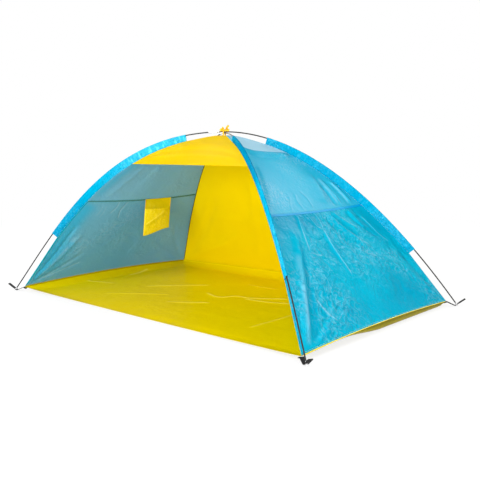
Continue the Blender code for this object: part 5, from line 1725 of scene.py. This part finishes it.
RIBBON, RIBBON_WIDTH = 0.0006, 0.012
BAND_COLUMNS = 7
LEG = 0.0085 + 0.0006
KNOT_WIDTH, KNOT_DEPTH, KNOT_HEIGHT = 0.016, 0.013, 0.011
KNOT_RINGS, KNOT_SIDES = 20, 32
BOW_TURN = math.radians(42.0)
TWIST_AT_KNOT, TWIST_BEYOND = math.radians(58.0), math.radians(18.0)
RIBBON_ENDS = {
    "long_end": ((0.1, 0.0), (0.7, 0.45), (1.15, 1.2), (1.65, 1.70)),
    "short_end": ((-0.1, 0.0), (-0.8, 0.10), (-1.45, -0.25)),
    "third_end": ((0.0, 0.1), (-0.45, 0.7), (-0.85, 0.95)),
    "right_loop": (
        *((0.0, 0.0), (0.6, 0.35), (1.35, 0.30), (1.55, -0.05)),
        *((1.0, -0.25), (0.4, -0.15), (0.0, 0.0)),
    ),
    "left_loop": (
        *((0.0, 0.0), (-0.5, 0.40), (-1.15, 0.40), (-1.40, 0.05)),
        *((-0.9, -0.20), (-0.4, -0.10), (0.0, 0.0)),
    ),
}


def band(name, line, width_way, widths, cup):
    """A flat band of ribbon along a line, a little hollow across its width."""
    route = Line(line)
    heading = route.heading(route.runs)
    square = unit(np.cross(width_way, heading))
    side = unit(np.cross(heading, square))
    across = np.linspace(-0.5, 0.5, BAND_COLUMNS)
    off, dip = widths[:, None] * across[None], cup * (1.0 - (across * 2.0) ** 2)
    points = line[:, None] + side[:, None] * off[..., None] + square[:, None] * dip[None, :, None]
    uv = paired(*np.broadcast_arrays(across[None] * RIBBON_WIDTH, route.runs[:, None])).reshape(-1, 2)
    faces = grid_faces(len(line), BAND_COLUMNS)
    return sheet_piece(name, points.reshape(-1, 3), faces, RIBBON, ["ribbon"], uv)


def surface_height(reach):
    """Height of the ridges' mean at a distance from the tent's middle line."""
    return sum(RIDGES[corner].at(run_at_reach(corner, reach))[2] for corner in SIGNS) / len(SIGNS)


def add_ribbon():
    top = CROSSING_HEIGHT + POLE_DIAMETER / 2.0 + CLEARANCE + RIBBON
    reach = LEG / abs(corner_direction("front_right")[1])
    seat = surface_height(reach) - PATCH_DROP + SOLID_PATCH / 2.0 + CLEARANCE * 2.0
    route = Line(rounded([(0, -LEG, seat), (0, -LEG, top), (0, LEG, top), (0, LEG, seat)], 0.0045, 6))
    line = route.at(np.linspace(0.0, route.length, 34))
    rise = np.clip((line[:, 2] - seat) / (top - seat), 0.0, 1.0)
    widths = RIBBON_WIDTH * (1.0 - 0.30 * rise)
    made = band("ribbon_round_crossing", line, np.array([1.0, 0.0, 0.0]), widths, 0.0004)
    settle(made, TENT, "ribbon", "ribbon_tie")
    middle = UP * (top + KNOT_HEIGHT / 2.0)
    right = np.array([math.cos(BOW_TURN), math.sin(BOW_TURN), 0.0])
    depth = np.cross(right, UP)
    add_knot(middle, right, depth)
    for name, places in RIBBON_ENDS.items():
        flat = smooth_line(places, 7)
        share = np.linspace(0.0, 1.0, len(flat))
        path = middle + (right * flat[:, :1] + UP * flat[:, 1:]) * KNOT_WIDTH
        path = path + depth * (0.0022 * np.sin(share * 5.0 + len(name)))[:, None]
        widths = RIBBON_WIDTH * mix(0.55, 1.0, eased(share * 3.0))
        route = Line(path)
        level_way = np.cross(depth, route.heading(route.runs))
        twist = (TWIST_AT_KNOT * (1.0 - eased(share * 1.6)) + TWIST_BEYOND)[:, None]
        across = level_way * np.cos(twist) + depth * np.sin(twist)
        made = band(f"ribbon_{name}", path, across, widths, 0.0007)
        settle(made, TENT, "ribbon")


def add_knot(middle, right, depth):
    """A flattened ball with the soft ridges of a pulled knot."""
    tilt = math.pi * (np.arange(KNOT_RINGS + 1) + 0.02) / (KNOT_RINGS + 0.04)
    turn, tilt = np.meshgrid(np.arange(KNOT_SIDES) * 2.0 * math.pi / KNOT_SIDES, tilt)
    ball = np.stack([np.cos(turn) * np.sin(tilt), np.sin(turn) * np.sin(tilt), -np.cos(tilt)], axis=-1)
    ridge = 1.0 + 0.07 * np.sin(15.0 * ball[..., 2] + 2.0 * np.sin(turn)) * np.sin(tilt)
    waist = 1.0 - 0.10 * np.exp(-((ball[..., 0] / 0.25) ** 2))
    sized = ball * np.array([KNOT_WIDTH, KNOT_DEPTH, KNOT_HEIGHT]) / 2.0 * (ridge * waist)[..., None]
    points = middle + (sized @ np.array([right, depth, UP])).reshape(-1, 3)
    faces = grid_faces(KNOT_RINGS + 1, KNOT_SIDES, around=True)
    last = KNOT_RINGS * KNOT_SIDES
    faces += [tuple(range(KNOT_SIDES))[::-1], tuple(range(last, last + KNOT_SIDES))]
    uv = ring_uv(KNOT_SIDES, 0.0015, np.arange(KNOT_RINGS + 1) * 0.0008)
    settle(solid_piece("ribbon_knot", points, faces, "ribbon", uv), TENT, "ribbon")


REINFORCEMENT, REINFORCEMENT_CLOTH = 0.024, 0.0010
REINFORCEMENT_SHARES = ((0.35, 0.0), (1.35, 0.0), (1.35, 0.9))
REINFORCEMENT_STEPS = 8
REINFORCEMENT_CLIMB = 0.1906


def add_reinforcement(label, near, following):
    """A doubled triangle of cloth under a corner of the visor."""
    shares = ((near, 0.0), (following, 0.0), (near, REINFORCEMENT_CLIMB))
    corner, ahead, above = (VISOR.plain(np.array(across), np.array(up)) for across, up in shares)
    along = unit(ahead - corner)
    square = unit(np.cross(along, above - corner))
    second = np.cross(square, along)
    if square[2] > 0.0:
        square = -square
    place = corner + square * (SOLID_CLOTH + CLEARANCE * 2.0)
    start, end, tip = np.array(REINFORCEMENT_SHARES) * REINFORCEMENT + (0.0, CLEARANCE)
    places, faces, first = [], [], 0
    for j in range(REINFORCEMENT_STEPS):
        count = REINFORCEMENT_STEPS + 1 - j
        ends = (mix(edge, tip, j / REINFORCEMENT_STEPS) for edge in (start, end))
        places.extend(np.linspace(*ends, count))
        for i in range(first, first + count - 1):
            faces.append((i, i + 1, count + i))
            if i < first + count - 2:
                faces.append((i + 1, count + i + 1, count + i))
        first += count
    places = np.array([*places, tip])
    points = place + along * places[:, :1] + second * places[:, 1:]
    name = f"visor_reinforcement_{label}"
    made = sheet_piece(f"{name}_cloth", points, faces, REINFORCEMENT_CLOTH, ["yellow_taffeta"], places)
    settle(made, TENT, YELLOW, name)


# Sewing: hems, felled seams and rows of stitches

STRIP, STRIP_COLUMNS = 0.0007, 4
UNDER_CLOTH, OVER_CLOTH = -0.0008, 0.0010
STITCH_PITCH, STITCH_SIZE = 0.0040, (0.0030, 0.0006, 0.0004)
STITCH_BOX = np.array(
    [(-0.5, -0.5, 0.0), (-0.5, 0.5, 0.0), (0.5, 0.5, 0.0), (0.5, -0.5, 0.0)]
    + [(-0.34, -0.3, 1.0), (-0.34, 0.3, 1.0), (0.34, 0.3, 1.0), (0.34, -0.3, 1.0)]
)
STITCH_FACES = ((0, 1, 2, 3), (4, 7, 6, 5), (0, 4, 5, 1), (1, 5, 6, 2), (2, 6, 7, 3), (3, 7, 4, 0))


def level(up, start=0.012):
    """A line of shares across a face at one height."""
    return paired(np.linspace(start, 1.0 - start, 160), np.full(160, up))


def beside_ridge(face, width, first_side, start=0.012, end=0.988):
    """A line of shares that keeps its distance from one of the face's ridges."""
    up = np.linspace(start, end, 150)
    share = width / np.maximum(face.width(up), width * 2.2)
    return paired(share if first_side else 1.0 - share, up)


def strip_on(cloth, label, face, low, high, lift, material, slot):
    """A narrow strip that lies on a face's cloth between two lines of shares."""
    shares = np.stack([mix(low, high, t) for t in np.linspace(0.0, 1.0, STRIP_COLUMNS)], axis=1)
    across, up = shares[..., 0], shares[..., 1]
    rows, uv = face.at(across, up, lift), paired(*face.flat(across, up)).reshape(-1, 2)
    points, faces = rows.reshape(-1, 3), grid_faces(len(low), STRIP_COLUMNS)
    made = sheet_piece(f"{cloth}_strip_{label}", points, faces, STRIP, [material], uv, np.zeros_like(uv))
    settle(made, TENT, slot)


def strip_across(cloth, label, face, heights, start, lift, material, slot):
    """A strip between two heights above a face's lower edge."""
    low, high = (level(height / face.height, start) for height in heights)
    strip_on(cloth, label, face, low, high, lift, material, slot)


def strip_up(cloth, label, face, width, first_side, end, material, slot):
    """A strip inside a face, along one of its ridges."""
    low, high = (beside_ridge(face, place, first_side, 0.004, end) for place in (0.0010, width))
    strip_on(cloth, label, face, low, high, UNDER_CLOTH, material, slot)


def add_strips():
    inside = "yellow_taffeta_inside"
    strip_across("visor_cloth", "hem", VISOR, (0.0015, 0.016), 0.004, UNDER_CLOTH, inside, YELLOW)
    right, left = "right_wall_lower_panel_cloth", "left_wall_lower_panel_cloth"
    for cloth, face, inside in (
        (right, RIGHT_LOWER, "blue_taffeta_inside"),
        (left, LEFT_LOWER, "seam_inside_blue"),
    ):
        top = face.height
        strip_across(cloth, "seam", face, (top - 0.011, top - 0.0012), 0.006, UNDER_CLOTH, inside, BLUE)
        strip_across(cloth, "fell", face, (top - 0.0150, top), 0.003, OVER_CLOTH, "seam_outside_blue", BLUE)
    strip_up(left, "hem", LEFT_LOWER, 0.0125, False, 0.99, "hem_inside_blue", BLUE)
    strip_up(right, "hem", RIGHT_LOWER, 0.0125, True, 0.99, "hem_inside_blue", BLUE)
    for label, first in (("right", True), ("left", False)):
        strip_up("back_wall_cloth", label, BACK_WALL, 0.0085, first, 0.985, "seam_inside_olive", YELLOW)
    strip_across("back_wall_cloth", "hem", BACK_WALL, (0.0010, 0.0150), 0.010, OVER_CLOTH, "yellow_hem", YELLOW)


def stitches_on(face, shares, side=1.0):
    """Short threads along a line of shares, on the outside of a face (1.0) or on its inside (-1.0)."""
    across, up = shares.T
    route = Line(face.at(across, up, side * (CLOTH / 2.0 + 0.00005)))
    count = int(route.length / STITCH_PITCH)
    runs = (np.arange(count) + 0.5) * route.length / count
    heading = route.heading(runs)
    square = unit(route.read(face.normals(across, up) * side, runs))
    ways = np.stack([heading, np.cross(square, heading), square], axis=1)
    points = route.at(runs)[:, None] + (STITCH_BOX * STITCH_SIZE) @ ways
    faces = [tuple(8 * i + k for k in face) for i in range(count) for face in STITCH_FACES]
    return points.reshape(-1, 3), faces


def add_sewing():
    blue, yellow = [], []
    for lower, upper in ((RIGHT_LOWER, RIGHT_UPPER), (LEFT_LOWER, LEFT_UPPER)):
        for side in (1.0, -1.0):
            blue.append(stitches_on(lower, level(1.0 - 0.0165 / lower.height), side))
            blue.append(stitches_on(upper, level(0.004 / upper.height), side))
            yellow.append(stitches_on(lower, level(0.006 / lower.height), side))
    for made, faces in (
        (blue, (RIGHT_LOWER, RIGHT_UPPER, LEFT_LOWER, LEFT_UPPER)),
        (yellow, (BACK_WALL, VISOR)),
    ):
        for face in faces:
            made += [stitches_on(face, beside_ridge(face, 0.006, first)) for first in (True, False)]
    for face, place in ((BACK_WALL, 0.006), (VISOR, 0.003), (VISOR, 0.014)):
        yellow += [stitches_on(face, level(place / face.height), side) for side in (1.0, -1.0)]
    for colour, rows in (("blue", blue), ("yellow", yellow)):
        made = add_piece(f"{colour}_stitches", *joined(rows), [f"{colour}_thread"])
        settle(made, TENT, f"{colour}_fabric")


# The whole tent


def add_tent():
    add_walls()
    add_floor()
    add_piping("piping_left", LEFT_LOWER, 1.0)
    add_piping("piping_right", RIGHT_LOWER, 0.0)
    for seed, corner in enumerate(SIGNS):
        add_sleeve(corner, 700 + 10 * seed)
        add_tip(corner)
        add_strap(corner)
        add_eyelet(corner)
    add_pole("pole_1", "front_left", "back_right")
    add_pole("pole_2", "back_left", "front_right")
    add_pocket()
    add_patch()
    add_ribbon()
    add_reinforcement("left", 0.0, 1.0 / 14.0)
    add_reinforcement("right", 1.0, 13.0 / 14.0)
    add_strips()
    add_sewing()


add_tent()

# Stage: a white floor that keeps the shadow, and soft light

STAGE_HALF, STAGE_DROP = 30.0, 0.0005
WHITE = (1.0, 1.0, 1.0, 1.0)


def backdrop_share(tree):
    """1 for rays that should see plain white: from the camera, a mirror or through glass."""
    path = node(tree, "ShaderNodeLightPath")
    seen = maths(tree, "MAXIMUM", path.outputs["Is Camera Ray"], path.outputs["Is Glossy Ray"])
    return maths(tree, "MAXIMUM", seen, path.outputs["Is Transmission Ray"])


def add_stage():
    made = bpy.data.materials.new("stage_floor")
    made.use_nodes = True
    tree = made.node_tree
    tree.nodes.clear()
    matt = node(tree, "ShaderNodeBsdfDiffuse", {"Color": (0.94, 0.94, 0.94, 1.0)})
    light = node(tree, "ShaderNodeEmission", {"Color": WHITE, "Strength": 1.0})
    place = node(tree, "ShaderNodeNewGeometry").outputs["Position"]
    away = node(tree, "ShaderNodeVectorMath", {0: place}, operation="LENGTH").outputs["Value"]
    share = times(tree, backdrop_share(tree), fitted(tree, away, 2.2, 5.0, 0.80, 1.0))
    mixed = node(tree, "ShaderNodeMixShader", {0: share, 1: matt.outputs[0], 2: light.outputs[0]})
    node(tree, "ShaderNodeOutputMaterial", {"Surface": mixed.outputs[0]})
    points = [(x * STAGE_HALF, y * STAGE_HALF, -STAGE_DROP) for x, y in ((-1, -1), (1, -1), (1, 1), (-1, 1))]
    floor = bpy.data.meshes.new("stage_floor")
    floor.from_pydata(points, [], [(0, 1, 2, 3)])
    floor.materials.append(made)
    placed("stage_floor", floor)


def add_world():
    world = bpy.data.worlds.new("studio")
    bpy.context.scene.world = world
    world.use_nodes = True
    tree = world.node_tree
    tree.nodes.clear()
    ends = {0: backdrop_share(tree)}
    for place, strength in ((1, 0.42), (2, 1.0)):
        inputs = {"Color": WHITE, "Strength": strength}
        ends[place] = node(tree, "ShaderNodeBackground", inputs).outputs[0]
    mixed = node(tree, "ShaderNodeMixShader", ends)
    node(tree, "ShaderNodeOutputWorld", {"Surface": mixed.outputs[0]})


# The name, place, aim, size and watts of each light
LIGHTS = (
    ("key", (1.2, -4.4, 4.4), (0.1, -0.1, 0.4), 2.6, 150.0),
    ("front", (1.4, -5.2, 1.3), (-0.1, 0.3, 0.4), 2.4, 255.0),
    ("right", (4.6, -0.6, 2.6), (0.6, 0.0, 0.5), 1.6, 45.0),
    ("left", (-4.5, 1.0, 3.0), (-0.6, 0.0, 0.4), 1.6, 100.0),
    ("back", (0.5, 5.0, 3.4), (0.0, 0.4, 0.4), 2.0, 130.0),
)


def add_lights():
    for name, place, aim, size, watts in LIGHTS:
        lamp = bpy.data.lights.new(name, "AREA")
        lamp.shape, lamp.size, lamp.energy = "DISK", size, watts
        made = placed(name, lamp)
        made.location = place
        made.rotation_mode = "QUATERNION"
        made.rotation_quaternion = (Vector(aim) - Vector(place)).to_track_quat("-Z", "Y")


add_stage()
add_world()
add_lights()
bpy.context.scene.view_settings.view_transform = "Standard"
